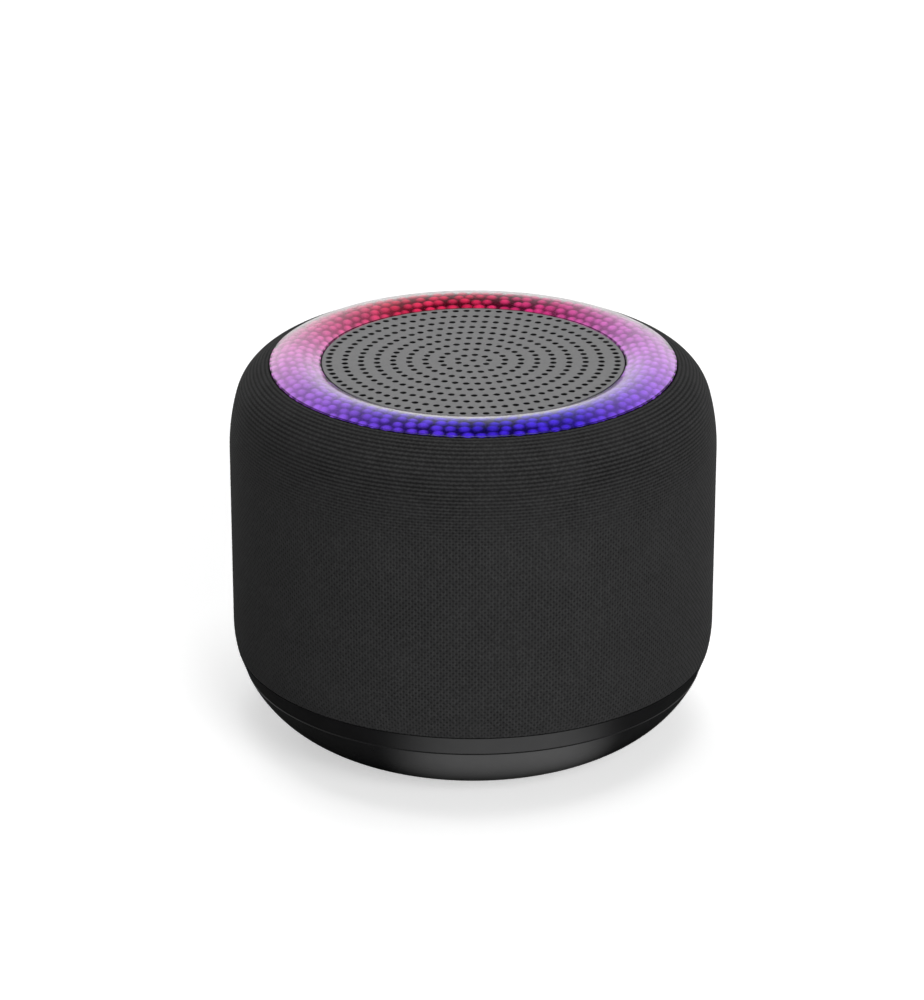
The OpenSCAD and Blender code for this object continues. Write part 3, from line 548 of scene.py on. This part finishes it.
cell_d, cell_half, cell_z = 18.4 * mm, 32.6 * mm, 18.5 * mm
sleeve = Finish("blue_shrink_sleeve").set(IOR=1.5, Coat_Weight=0.35, Coat_Roughness=0.12)
along_cell = sleeve.node("SeparateXYZ", {0: sleeve.place}).outputs[0]
bare_end = sleeve.math("GREATER_THAN", sleeve.math("ABSOLUTE", along_cell), cell_half - 1.6 * mm)
wrap = sleeve.ramp(sleeve.noise(300.0), (0.3, (0.012, 0.085, 0.26)), (0.7, (0.018, 0.11, 0.32)))
sleeve.link("Base Color", sleeve.node("Mix", {0: bare_end, 6: wrap, 7: (0.58, 0.58, 0.56, 1)},
                                      data_type="RGBA").outputs[2])
sleeve.link("Metallic", bare_end)
sleeve.link("Roughness", sleeve.spread(sleeve.noise(800.0), 0.22, 0.36))
creases = sleeve.node("TexWave", {"Vector": sleeve.place, "Scale": 160.0, "Distortion": 3.0,
                                  "Detail": 2.0}, bands_direction="X").outputs["Fac"]
sleeve.link("Normal", sleeve.bump(creases, 0.00002, 0.5))
paint(sleeve, "battery_cell")

foam = Finish("grey_foam").set(IOR=1.3)
foam.mottle((0.035, 0.035, 0.036), (0.075, 0.075, 0.076), 1900.0, rough=(0.88, 1.0))
pores = foam.node("TexVoronoi", {"Vector": foam.place, "Scale": 2600.0}).outputs["Distance"]
foam.link("Normal", foam.bump(pores, 0.0001, 0.8))
pad_in, pad_out = cell_d / 2 + 0.06 * mm, cell_d / 2 + 0.54 * mm
bm = bmesh.new()
for x in (-20 * mm, 20 * mm):
    for side in (0, 180):
        bar = [bm.verts.new((x + dx * mm, 0, -r)) for dx, r in
               ((-1.75, pad_in), (-1.5, pad_out), (1.5, pad_out), (1.75, pad_in))]
        edges = [bm.edges.new((bar[k - 1], bar[k])) for k in range(4)]
        bmesh.ops.rotate(bm, cent=(0, 0, 0), verts=bar,
                         matrix=Matrix.Rotation(math.radians(side - 34.5), 3, "X"))
        first = bm.faces.new(bar)
        made = bmesh.ops.spin(bm, geom=[first] + bar + edges, cent=(0, 0, 0), axis=(1, 0, 0),
                              angle=math.radians(69), steps=14, use_duplicate=False)
bmesh.ops.translate(bm, vec=(0, 0, cell_z), verts=bm.verts[:])
bmesh.ops.remove_doubles(bm, verts=bm.verts[:], dist=1e-6)
bmesh.ops.recalc_face_normals(bm, faces=bm.faces[:])
strips = dress(finished("foam_strips", bm), foam)
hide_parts("battery_pads")

# ---------------------------------------------------------------- main board
# A glass-epoxy board with green solder mask over its copper tracks. It carries the
# radio and amplifier chips, two supply coils, three can capacitors, the lead sockets,
# the charging socket, the switches, the status light and the microphone.

solder_mask = Finish("green_solder_mask").set(IOR=1.5, Coat_Weight=0.4, Coat_Roughness=0.15)
tracks = solder_mask.node("TexBrick", {"Vector": solder_mask.node(
    "Mapping", {"Vector": solder_mask.place, "Rotation": (math.pi / 2, 0, 0)}).outputs[0],
    "Scale": 420.0, "Mortar Size": 0.035, "Brick Width": 0.9, "Row Height": 0.35}).outputs["Fac"]
mask_tone = solder_mask.ramp(solder_mask.noise(500.0), (0.3, (0.004, 0.062, 0.028)),
                             (0.7, (0.006, 0.085, 0.040)))
solder_mask.link("Base Color", solder_mask.node(
    "Mix", {0: tracks, 6: mask_tone, 7: (0.015, 0.14, 0.065, 1)}, data_type="RGBA").outputs[2])
solder_mask.link("Roughness", solder_mask.spread(solder_mask.noise(700.0), 0.28, 0.4))
solder_mask.link("Normal", solder_mask.bump(tracks, 0.00003, 0.6))
paint(solder_mask, "main_board", "battery_guard_board")

chip_epoxy = Finish("black_chip_epoxy").set(IOR=1.55)
chip_epoxy.mottle((0.014, 0.014, 0.015), (0.024, 0.024, 0.026), 1500.0, rough=(0.5, 0.66))
chip_epoxy.grain(12000.0, 0.000006)
paint(chip_epoxy, "radio_chip", "amplifier_chip", "microphone")

coil_ferrite = Finish("coated_ferrite").set(IOR=1.6)
coil_ferrite.mottle((0.055, 0.058, 0.062), (0.095, 0.10, 0.105), 1300.0, rough=(0.42, 0.6))
coil_ferrite.grain(7000.0, 0.000012)
paint(coil_ferrite, "power_coils")

can_aluminium = Finish("can_aluminium").set(Metallic=1.0)
can_aluminium.mottle((0.58, 0.59, 0.60), (0.72, 0.73, 0.74), 1200.0, rough=(0.22, 0.36))
can_aluminium.grain(14000.0, 0.000004)
paint(can_aluminium, "capacitors")

socket_nylon = Finish("ivory_nylon").set(IOR=1.52, Subsurface_Weight=0.1)
socket_nylon.shader.inputs["Subsurface Scale"].default_value = 0.0005
socket_nylon.mottle((0.62, 0.58, 0.48), (0.72, 0.68, 0.58), 600.0, rough=(0.4, 0.52))
socket_nylon.grain(5000.0, 0.000006)
paint(socket_nylon, "lead_sockets")

socket_steel = Finish("nickel_plated_shell").set(Metallic=1.0)
socket_steel.mottle((0.60, 0.59, 0.57), (0.74, 0.73, 0.70), 900.0, rough=(0.16, 0.28))
socket_steel.grain(11000.0, 0.000003)
paint(socket_steel, "usb_shell")

tongue_mat = Finish("tongue_with_contacts").set(IOR=1.55)
spot = tongue_mat.node("SeparateXYZ", {0: tongue_mat.place})
stripe = tongue_mat.math("COSINE", tongue_mat.math("MULTIPLY", spot.outputs[0],
                                                   2 * math.pi / (0.5 * mm)))
deep = tongue_mat.math("GREATER_THAN", spot.outputs[1], 0.0333)
contact = tongue_mat.math("MULTIPLY", tongue_mat.math("GREATER_THAN", stripe, 0.0), deep)
liquid_polymer = tongue_mat.ramp(tongue_mat.noise(1500.0), (0.3, (0.010, 0.010, 0.011)),
                                 (0.7, (0.018, 0.018, 0.019)))
tongue_mat.link("Base Color", tongue_mat.node(
    "Mix", {0: contact, 6: liquid_polymer, 7: (0.78, 0.53, 0.20, 1)}, data_type="RGBA").outputs[2])
tongue_mat.link("Metallic", contact)
tongue_mat.link("Roughness", tongue_mat.spread(tongue_mat.noise(2500.0), 0.28, 0.42))
paint(tongue_mat, "usb_tongue")

switch_shell = Finish("black_switch_plastic").set(IOR=1.5)
switch_shell.mottle((0.016, 0.016, 0.017), (0.026, 0.026, 0.028), 1300.0, rough=(0.38, 0.5))
switch_shell.grain(9000.0, 0.000005)
paint(switch_shell, "switch_bodies")
plunger_nylon = Finish("brown_plunger_nylon").set(IOR=1.5)
plunger_nylon.mottle((0.10, 0.055, 0.03), (0.15, 0.085, 0.045), 1500.0, rough=(0.4, 0.5))
plunger_nylon.grain(9000.0, 0.000005)
paint(plunger_nylon, *["switch_plunger_" + b for b in
                       ("power", "volume_down", "play", "volume_up", "light")])

# ---------------------------------------------------------------- leads
# Stranded copper in PVC: red from the cell, black to the driver, white to the lamp
# board. Each pair is crimped into its socket on the main board.

for node, dark, pale in (("battery_leads", (0.36, 0.012, 0.012), (0.46, 0.02, 0.018)),
                         ("driver_leads", (0.010, 0.010, 0.011), (0.017, 0.017, 0.018)),
                         ("lamp_leads", (0.60, 0.60, 0.58), (0.72, 0.72, 0.70))):
    pvc = Finish("pvc_of_" + node).set(IOR=1.53)
    pvc.mottle(dark, pale, 900.0, rough=(0.34, 0.46))
    pvc.grain(4500.0, 0.000008)
    paint(pvc, node)

# ---------------------------------------------------------------- driver
# A small full-range driver: a pressed steel basket, a ferrite ring between steel
# plates, a doped paper cone on a copper coil, a cloth spider and a rubber roll.

basket_paint = Finish("black_painted_steel").set(Metallic=0.35)
basket_paint.mottle((0.020, 0.020, 0.021), (0.034, 0.034, 0.036), 700.0, rough=(0.34, 0.48))
basket_paint.grain(3600.0, 0.000008)
paint(basket_paint, "driver_basket")
paint(zinc, "pole_plate", "yoke")

ferrite = Finish("sintered_ferrite").set(IOR=1.7)
ferrite.mottle((0.022, 0.022, 0.025), (0.045, 0.045, 0.050), 800.0, rough=(0.46, 0.64))
ferrite.grain(4200.0, 0.00002)
paint(ferrite, "ring_magnet")

tag_brass = Finish("tag_strip").set(IOR=1.5)
below = tag_brass.node("SeparateXYZ", {0: tag_brass.place}).outputs[1]
is_tag = tag_brass.math("GREATER_THAN", below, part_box("driver_terminals")[0][1] + 1.02 * mm)
strip_tone = tag_brass.ramp(tag_brass.noise(1300.0), (0.3, (0.11, 0.05, 0.025)),
                            (0.7, (0.17, 0.085, 0.045)))
tag_brass.link("Base Color", tag_brass.node(
    "Mix", {0: is_tag, 6: strip_tone, 7: (0.75, 0.56, 0.27, 1)}, data_type="RGBA").outputs[2])
tag_brass.link("Metallic", is_tag)
tag_brass.link("Roughness", tag_brass.spread(tag_brass.noise(1800.0), 0.28, 0.46))
paint(tag_brass, "driver_terminals")

paper = Finish("doped_paper").set(IOR=1.45)
paper.mottle((0.012, 0.012, 0.012), (0.030, 0.029, 0.028), 1100.0, rough=(0.62, 0.82))
paper_fibre = paper.noise(4200.0, 5.0, 0.75)
paper.link("Normal", paper.bump(paper_fibre, 0.00006, 0.8))
paint(paper, "cone")
cap_paper = Finish("pressed_cap_paper").set(IOR=1.45, Coat_Weight=0.2, Coat_Roughness=0.3)
cap_paper.mottle((0.010, 0.010, 0.010), (0.022, 0.022, 0.022), 1300.0, rough=(0.5, 0.66))
cap_paper.grain(5200.0, 0.00003)
paint(cap_paper, "dust_cap")

former = Finish("polyimide_former").set(IOR=1.6)
former.mottle((0.42, 0.19, 0.03), (0.52, 0.26, 0.05), 900.0, rough=(0.24, 0.36))
former.grain(7000.0, 0.000006)
paint(former, "coil_former")

copper = Finish("copper_winding").set(Metallic=1.0)
turn_height = copper.node("SeparateXYZ", {0: copper.place}).outputs[2]
turns = copper.math("SINE", copper.math("MULTIPLY", turn_height, 2 * math.pi / (0.14 * mm)))
# The colour darkens in the grooves between the turns: painted shade.
copper.link("Base Color", copper.ramp(copper.spread(turns, 0.0, 1.0, -1.0, 1.0),
                                      (0.1, (0.30, 0.09, 0.04)), (0.7, (0.72, 0.28, 0.13))))
copper.link("Roughness", copper.spread(copper.noise(2600.0), 0.25, 0.4))
copper.link("Normal", copper.bump(turns, 0.00004, 0.7))
paint(copper, "coil_winding")

spider_weave = Finish("treated_spider_cloth").set(IOR=1.45)
spot = spider_weave.node("SeparateXYZ", {0: spider_weave.place})
warp = spider_weave.math("SINE", spider_weave.math("MULTIPLY", spot.outputs[0], 2 * math.pi / 0.0006))
weft = spider_weave.math("SINE", spider_weave.math("MULTIPLY", spot.outputs[1], 2 * math.pi / 0.0006))
cloth_weave = spider_weave.math("MULTIPLY", warp, weft)
spider_weave.link("Base Color", spider_weave.ramp(
    spider_weave.spread(cloth_weave, 0.0, 1.0, -1.0, 1.0),
    (0.1, (0.24, 0.12, 0.035)), (0.9, (0.42, 0.24, 0.08))))
spider_weave.link("Roughness", spider_weave.spread(spider_weave.noise(1800.0), 0.7, 0.85))
spider_weave.link("Normal", spider_weave.bump(cloth_weave, 0.00005, 0.7))
paint(spider_weave, "spider")

# The rubber roll is one ring of butyl rubber glued to the basket and to the cone's rim.
# Its outer half stays with the basket, and its inner half is made as a piece of its own.
flange_top = 59.0 * mm
cone_r, throat_r, roll_t = 16.8 * mm, 19.8 * mm, 0.5 * mm
cone_rim_z = flange_top - 0.6 * mm
roll_r = (throat_r - 0.8 * mm - cone_r) / 2 + 0.2 * mm
roll_mid = cone_r + roll_r
roll_z = flange_top + roll_t / 2
outer_half = ([(throat_r + 0.28 * mm, flange_top + 0.01 * mm),
               (throat_r + 0.28 * mm, flange_top + roll_t)]
              + arc(roll_mid, roll_z, roll_r + roll_t / 2, 8, 90, 10)
              + arc(roll_mid, roll_z, roll_r - roll_t / 2, 90, 12, 10)
              + [(roll_mid + roll_r - roll_t / 2, flange_top + 0.01 * mm)])
inner_half = (arc(roll_mid, roll_z, roll_r + roll_t / 2, 90, 172, 10)
              + [(roll_mid - roll_r - roll_t / 2, cone_rim_z + roll_t),
                 (cone_r - 0.9 * mm, cone_rim_z + roll_t),
                 (cone_r - 0.9 * mm, cone_rim_z + 0.01 * mm),
                 (roll_mid - roll_r + roll_t / 2, cone_rim_z + 0.01 * mm)]
              + arc(roll_mid, roll_z, roll_r - roll_t / 2, 172, 90, 10))
butyl = Finish("butyl_rubber").set(IOR=1.5)
butyl.mottle((0.010, 0.010, 0.010), (0.018, 0.018, 0.018), 500.0, rough=(0.42, 0.56))
butyl.grain(3000.0, 0.00001)
roll_outer = dress(spun("roll_outer_half", outer_half, 128, sharp=50), butyl)
roll_inner = spun("roll_inner_half", inner_half, 128, sharp=50)
roll_inner.data.materials.append(butyl.mat)
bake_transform(roll_inner)
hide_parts("surround")
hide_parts("surround")

# ---------------------------------------------------------------- lamps
# Twelve colour lamps on a white ring-shaped board, with a moulded white reflector
# round them.

lamp_mask = Finish("white_solder_mask").set(IOR=1.5)
lamp_mask.mottle((0.66, 0.66, 0.64), (0.76, 0.76, 0.74), 900.0, rough=(0.3, 0.42))
lamp_mask.grain(5000.0, 0.000008)
paint(lamp_mask, "lamp_board")
reflector = Finish("white_reflector_plastic").set(IOR=1.52)
reflector.mottle((0.74, 0.74, 0.73), (0.82, 0.82, 0.81), 500.0, rough=(0.4, 0.52))
reflector.grain(4200.0, 0.000006)
paint(reflector, "reflector_ring")

lamp_mat = Finish("lamp_package").set(IOR=1.5)
spot = lamp_mat.node("SeparateXYZ", {0: lamp_mat.place})
lamp_mat.link("Base Color", lamp_mat.ramp(lamp_mat.noise(1400.0), (0.3, (0.62, 0.60, 0.50)),
                                          (0.7, (0.76, 0.74, 0.64))))
lamp_mat.link("Roughness", lamp_mat.spread(lamp_mat.noise(2200.0), 0.24, 0.38))
lamp_mat.grain(6000.0, 0.000006)
paint(lamp_mat, "lamps")

# ---------------------------------------------------------------- light ring
# Two moulded rings of clear acrylic. The lower one is dotted with small lens bumps that
# show the lamps' colours as a painted glow, with painted shade between them; a smooth arch covers it.

ring_in, ring_out = 24.95 * mm, 33.2 * mm
ring_mid = (ring_in + ring_out) / 2
ring_half = (ring_out - ring_in) / 2
ring_crown = 1.2 * mm
arch_r = (ring_half ** 2 + ring_crown ** 2) / (2 * ring_crown)
arch_z = top_z + ring_crown - arch_r
seat_z = 58.0 * mm
cover_t = 0.3 * mm


def arch_outline(half, r, thick, low, steps):
    """An arch over the ring with a skirt on each side, from skirt foot to skirt foot."""
    a = math.degrees(math.asin(half / r))
    b = math.degrees(math.asin((half - thick) / (r - thick)))
    return ([(ring_mid + half, low)] + arc(ring_mid, arch_z, r, 90 - a, 90 + a, steps)
            + [(ring_mid - half, low), (ring_mid - half + thick, low)]
            + arc(ring_mid, arch_z, r - thick, 90 + b, 90 - b, steps)
            + [(ring_mid + half - thick, low)])


clear_ring = spun("clear_ring", arch_outline(ring_half, arch_r, cover_t, seat_z, 24), 192)
acrylic = Finish("clear_acrylic").set(IOR=1.45)
haze = acrylic.noise(500.0, 3.0)
acrylic.link("Roughness", acrylic.spread(haze, 0.06, 0.11))
# Below the arch the skirts are black and opaque, not clear: painted shade in the narrow gaps beside
# the grille and the knitted cover.
arch_part = acrylic.math("GREATER_THAN", acrylic.node(
    "SeparateXYZ", {0: acrylic.place}).outputs[2], top_z - 0.25 * mm)
acrylic.link("Transmission Weight", arch_part)
acrylic.link("Base Color", acrylic.ramp(arch_part, (0.0, (0.006, 0.006, 0.006)), (1.0, (1, 1, 1))))
dress(clear_ring, acrylic)
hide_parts("diffuser_ring")

lens_half = ring_half - cover_t - 0.05 * mm
lens_r = arch_r - cover_t - 0.37 * mm
lens_pitch = 2.1 * mm
lens_rise = 0.32 * mm
lens_ring = spun("lens_ring", arch_outline(lens_half, lens_r, 1.0 * mm, seat_z + 0.05 * mm, 60),
                 900, sharp=60)
rng = np.random.default_rng(5)
rows = []
for offset in np.arange(-2.5, 2.6, 1.0) * 1.40 * mm:
    r = ring_mid + lens_r * math.sin(offset / lens_r)
    count = round(2 * math.pi * r / lens_pitch)
    step = 2 * math.pi / count
    centres = (np.arange(count) * step + rng.uniform(0, step) + rng.normal(0, 0.13, count) * step)
    rows.append((offset, centres % (2 * math.pi), rng.normal(0, 0.13 * mm, count),
                 rng.uniform(0.86, 1.12, count), rng.uniform(0.75, 1.0, count)))
mesh = lens_ring.data
co = np.empty(len(mesh.vertices) * 3)
mesh.vertices.foreach_get("co", co)
co = co.reshape(-1, 3)
radius = np.hypot(co[:, 0], co[:, 1])
azimuth = np.arctan2(co[:, 1], co[:, 0]) % (2 * math.pi)
lean = np.arctan2(radius - ring_mid, co[:, 2] - arch_z)
depth = np.hypot(radius - ring_mid, co[:, 2] - arch_z)
on_top = (abs(depth - lens_r) < 0.02 * mm) & (co[:, 2] > seat_z + 2 * mm)
lens = np.zeros(len(co))
gleam = np.zeros(len(co))
for offset, centres, shifts, sizes, lights in rows:
    near = np.flatnonzero(on_top & (abs(lean * lens_r - offset) < 1.4 * mm))
    gap = (azimuth[near, None] - centres[None, :] + math.pi) % (2 * math.pi) - math.pi
    k = abs(gap).argmin(axis=1)
    du = gap[np.arange(len(near)), k] * radius[near] / (0.49 * lens_pitch * sizes[k])
    dv = (lean[near] * lens_r - offset - shifts[k]) / (0.74 * mm * sizes[k])
    dome = np.clip(1 - du * du - dv * dv, 0, 1)
    lens[near] = np.maximum(lens[near], dome)
    gleam[near] = np.maximum(gleam[near], dome * lights[k])
swell = lens ** 0.7 * lens_rise
co[:, 0] += np.cos(azimuth) * np.sin(lean) * swell
co[:, 1] += np.sin(azimuth) * np.sin(lean) * swell
co[:, 2] += np.cos(lean) * swell
mesh.vertices.foreach_set("co", co.ravel())
glow = mesh.attributes.new("lens", "FLOAT", "POINT")
glow.data.foreach_set("value", gleam.astype(np.float32))
mesh.update()

# The lens ring is no lamp: its emission is a painted glow standing in for the lamps' light, bright in
# the bumps and in the lamps' hues round the ring. Its base colour is darker between the bumps as
# painted shade.
lens_mat = Finish("lit_lens_acrylic").set(Specular_IOR_Level=0.05, Roughness=0.45)
spot = lens_mat.node("SeparateXYZ", {0: lens_mat.place})
round_the_ring = lens_mat.math("ARCTAN2", spot.outputs[1], spot.outputs[0])
turn_share = lens_mat.math("FRACT", lens_mat.math("ADD", lens_mat.math(
    "DIVIDE", round_the_ring, 2 * math.pi), 1.0))
hues = lens_mat.ramp(turn_share,
                     (0.0, (0.66, 0.20, 0.86)), (0.083, (0.68, 0.15, 0.60)),
                     (0.167, (0.72, 0.04, 0.26)), (0.25, (0.78, 0.015, 0.09)),
                     (0.333, (0.76, 0.02, 0.09)), (0.417, (0.82, 0.11, 0.34)),
                     (0.5, (0.78, 0.22, 0.68)), (0.583, (0.44, 0.14, 0.80)),
                     (0.667, (0.17, 0.055, 0.82)), (0.75, (0.045, 0.012, 0.76)),
                     (0.833, (0.06, 0.015, 0.80)), (0.917, (0.32, 0.10, 0.88)),
                     (1.0, (0.66, 0.20, 0.86)))
bead = lens_mat.node("Attribute", attribute_name="lens").outputs["Fac"]
# Painted light: the gaps between the bumps glow more towards the left and the right of the ring.
painted_side_glow = lens_mat.spread(lens_mat.math("ABSOLUTE", spot.outputs[0]), 0.10, 0.55, 8 * mm, 28 * mm)
shine = lens_mat.spread(bead, painted_side_glow, 1.0, 0.0, 0.84)
lens_mat.link("Emission Color", hues)
lens_mat.link("Emission Strength", lens_mat.math("MULTIPLY", shine,
                                                 lens_mat.spread(lens_mat.noise(220.0), 0.85, 1.15)))
lens_mat.link("Base Color", lens_mat.ramp(bead, (0.1, (0.01, 0.01, 0.012)), (0.8, (0.06, 0.05, 0.07))))
dress(lens_ring, lens_mat)
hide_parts("diffuser_ring")

# ---------------------------------------------------------------- grille and dust cloth
# A die-cut aluminium disc with nine rings of round holes, bead-blasted and painted a
# matt grey, and a black acoustic cloth glued under it.

grille_paint = Finish("matt_grey_paint").set(IOR=1.45)
speck = grille_paint.noise(5200.0, 2.0, 0.6)
painted = grille_paint.ramp(speck, (0.25, (0.186, 0.186, 0.188)), (0.75, (0.236, 0.236, 0.238)))
# The rim and the hole walls, everything below the top face, are near-black: painted shade in the
# holes.
top_face = grille_paint.math("GREATER_THAN", grille_paint.node(
    "SeparateXYZ", {0: grille_paint.place}).outputs[2], top_z - 0.06 * mm)
grille_paint.link("Base Color", grille_paint.node(
    "Mix", {0: top_face, 6: (0.006, 0.006, 0.006, 1), 7: painted}, data_type="RGBA").outputs[2])
grille_paint.link("Roughness", grille_paint.spread(grille_paint.noise(900.0), 0.58, 0.7))
grille_paint.link("Normal", grille_paint.bump(speck, 0.00001, 0.7))
paint(grille_paint, "grille_disc")

cloth_r = 23.45 * mm
cloth_low, cloth_high = 63.02 * mm, 63.18 * mm
bm = bmesh.new()
bmesh.ops.create_circle(bm, cap_ends=True, segments=96, radius=cloth_r)
for k in range(5):
    inner = [f for f in bm.faces if len(f.verts) > 4]
    bmesh.ops.inset_region(bm, faces=inner, thickness=4.2 * mm, use_even_offset=True)
bmesh.ops.translate(bm, vec=(0, 0, cloth_high), verts=bm.verts[:])
made = bmesh.ops.extrude_face_region(bm, geom=bm.faces[:], use_keep_orig=True)
bmesh.ops.translate(bm, vec=(0, 0, cloth_low - cloth_high),
                    verts=[g for g in made["geom"] if isinstance(g, bmesh.types.BMVert)])
bmesh.ops.recalc_face_normals(bm, faces=bm.faces[:])
acoustic = finished("acoustic_cloth", bm)
mesh_cloth = Finish("black_acoustic_mesh").set(IOR=1.4, Sheen_Weight=0.05, Sheen_Roughness=0.5)
spot = mesh_cloth.node("SeparateXYZ", {0: mesh_cloth.place})
warp = mesh_cloth.math("SINE", mesh_cloth.math("MULTIPLY", spot.outputs[0], 2 * math.pi / 0.00025))
weft = mesh_cloth.math("SINE", mesh_cloth.math("MULTIPLY", spot.outputs[1], 2 * math.pi / 0.00025))
plain_weave = mesh_cloth.spread(mesh_cloth.math("MULTIPLY", warp, weft), 0.0, 1.0, -1.0, 1.0)
mesh_cloth.link("Base Color", mesh_cloth.ramp(plain_weave, (0.1, (0.002, 0.002, 0.002)),
                                              (0.9, (0.008, 0.008, 0.008))))
mesh_cloth.link("Roughness", mesh_cloth.spread(mesh_cloth.noise(2000.0), 0.8, 0.95))
mesh_cloth.link("Normal", mesh_cloth.bump(plain_weave, 0.00003, 0.7))
dress(acoustic, mesh_cloth)
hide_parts("dust_cloth")

# ---------------------------------------------------------------- control panel
# A finely textured black panel clipped into the barrel at the rear. It holds five
# round buttons in a column, the charging socket, a status light and a microphone hole.

panel_abs = Finish("textured_panel_abs").set(IOR=1.48)
panel_abs.mottle((0.010, 0.010, 0.0105), (0.015, 0.015, 0.0155), 380.0, rough=(0.42, 0.54))
sparkle = panel_abs.noise(2600.0, 4.0, 0.7)
panel_abs.link("Normal", panel_abs.bump(sparkle, 0.00002, 0.8))
paint(panel_abs, "control_panel")

light_guide = Finish("clear_light_guide").set(Transmission_Weight=0.85, IOR=1.49)
# Painted glow: the light guide's emission stands in for the status lamp's light.
light_guide.set(Emission_Strength=0.5)
light_guide.link("Base Color", light_guide.ramp(light_guide.noise(900.0), (0.3, (0.80, 0.86, 0.92)),
                                                (0.7, (0.90, 0.94, 0.98))))
light_guide.link("Emission Color", light_guide.ramp(light_guide.noise(1500.0),
                                                    (0.3, (0.42, 0.52, 0.62)), (0.7, (0.5, 0.6, 0.7))))
light_guide.link("Roughness", light_guide.spread(light_guide.noise(1400.0), 0.12, 0.24))
paint(light_guide, "light_pipe")
paint(lamp_mat, "status_lamp")

# ---------------------------------------------------------------- buttons
# Five moulded caps in soft-touch black, each on the plunger of its switch, with a
# raised printed sign: power, less, play and pause, more, and light.

cap_soft = Finish("soft_touch_caps").set(IOR=1.45)
cap_soft.mottle((0.016, 0.016, 0.0165), (0.024, 0.024, 0.025), 900.0, rough=(0.5, 0.62))
cap_soft.grain(5200.0, 0.000006)
ink = Finish("pale_grey_ink").set(IOR=1.5)
ink.mottle((0.52, 0.52, 0.52), (0.60, 0.60, 0.60), 2500.0, rough=(0.4, 0.52))
ink.grain(12000.0, 0.000003)

sign_low, sign_high = 40.56 * mm, 40.655 * mm
button_z, button_pitch = 29.0 * mm, 4.6 * mm


def bar(bm, x, z, w, h, turn=0.0):
    """A flat bar w by h on a button's face, centred at x, z and turned about the middle."""
    made = bmesh.ops.create_cube(bm, size=1.0)["verts"]
    bmesh.ops.scale(bm, vec=(w, sign_high - sign_low, h), verts=made)
    bmesh.ops.translate(bm, vec=(x, (sign_low + sign_high) / 2, z), verts=made)
    bmesh.ops.rotate(bm, cent=(0, 0, 0), verts=made, matrix=Matrix.Rotation(turn, 3, "Y"))


def ring_arc(bm, r, w, start, sweep):
    """Part of a flat ring on a button's face, angles in degrees from straight up."""
    corners = [bm.verts.new((dx, y, r + dz)) for dx, y, dz in
               ((0, sign_low, 0), (0, sign_high, 0), (0, sign_high, w), (0, sign_low, w))]
    bmesh.ops.rotate(bm, cent=(0, 0, 0), verts=corners,
                     matrix=Matrix.Rotation(math.radians(start), 3, "Y"))
    first = bm.faces.new(corners)
    closed = sweep >= 360
    bmesh.ops.spin(bm, geom=[first], cent=(0, 0, 0), axis=(0, 1, 0),
                   angle=math.radians(sweep), steps=40, use_merge=closed)


def disc(bm, r, segments, x=0.0, turn=0.0):
    """A flat disc or triangle on a button's face."""
    made = bmesh.ops.create_cone(bm, cap_ends=True, segments=segments, radius1=r, radius2=r,
                                 depth=sign_high - sign_low)["verts"]
    bmesh.ops.rotate(bm, cent=(0, 0, 0), verts=made, matrix=Matrix.Rotation(math.pi / 2, 3, "X"))
    bmesh.ops.rotate(bm, cent=(0, 0, 0), verts=made, matrix=Matrix.Rotation(turn, 3, "Y"))
    bmesh.ops.translate(bm, vec=(x, (sign_low + sign_high) / 2, 0), verts=made)


line_w = 0.2 * mm
for k, name in enumerate(("power", "volume_down", "play", "volume_up", "light")):
    paint(cap_soft, "button_" + name)
    bm = bmesh.new()
    if name == "power":
        ring_arc(bm, 0.6 * mm, line_w, 38, 284)
        bar(bm, 0, 0.55 * mm, line_w, 0.75 * mm)
    elif name == "volume_down":
        bar(bm, 0, 0, 1.3 * mm, line_w)
    elif name == "volume_up":
        bar(bm, 0, 0, 1.3 * mm, line_w)
        bar(bm, 0, 0, line_w, 1.3 * mm)
    elif name == "play":
        disc(bm, 0.58 * mm, 3, x=0.42 * mm, turn=math.radians(-90))
        bar(bm, -0.35 * mm, 0, line_w, 0.95 * mm)
        bar(bm, -0.75 * mm, 0, line_w, 0.95 * mm)
    else:
        disc(bm, 0.38 * mm, 24)
        for ray in range(8):
            bar(bm, 0, 0.72 * mm, line_w * 0.8, 0.3 * mm, math.radians(45 * ray))
    bmesh.ops.translate(bm, vec=(0, 0, button_z + button_pitch * k), verts=bm.verts[:])
    bmesh.ops.recalc_face_normals(bm, faces=bm.faces[:])
    dress(finished("sign_" + name, bm), ink, body=name + "_button")
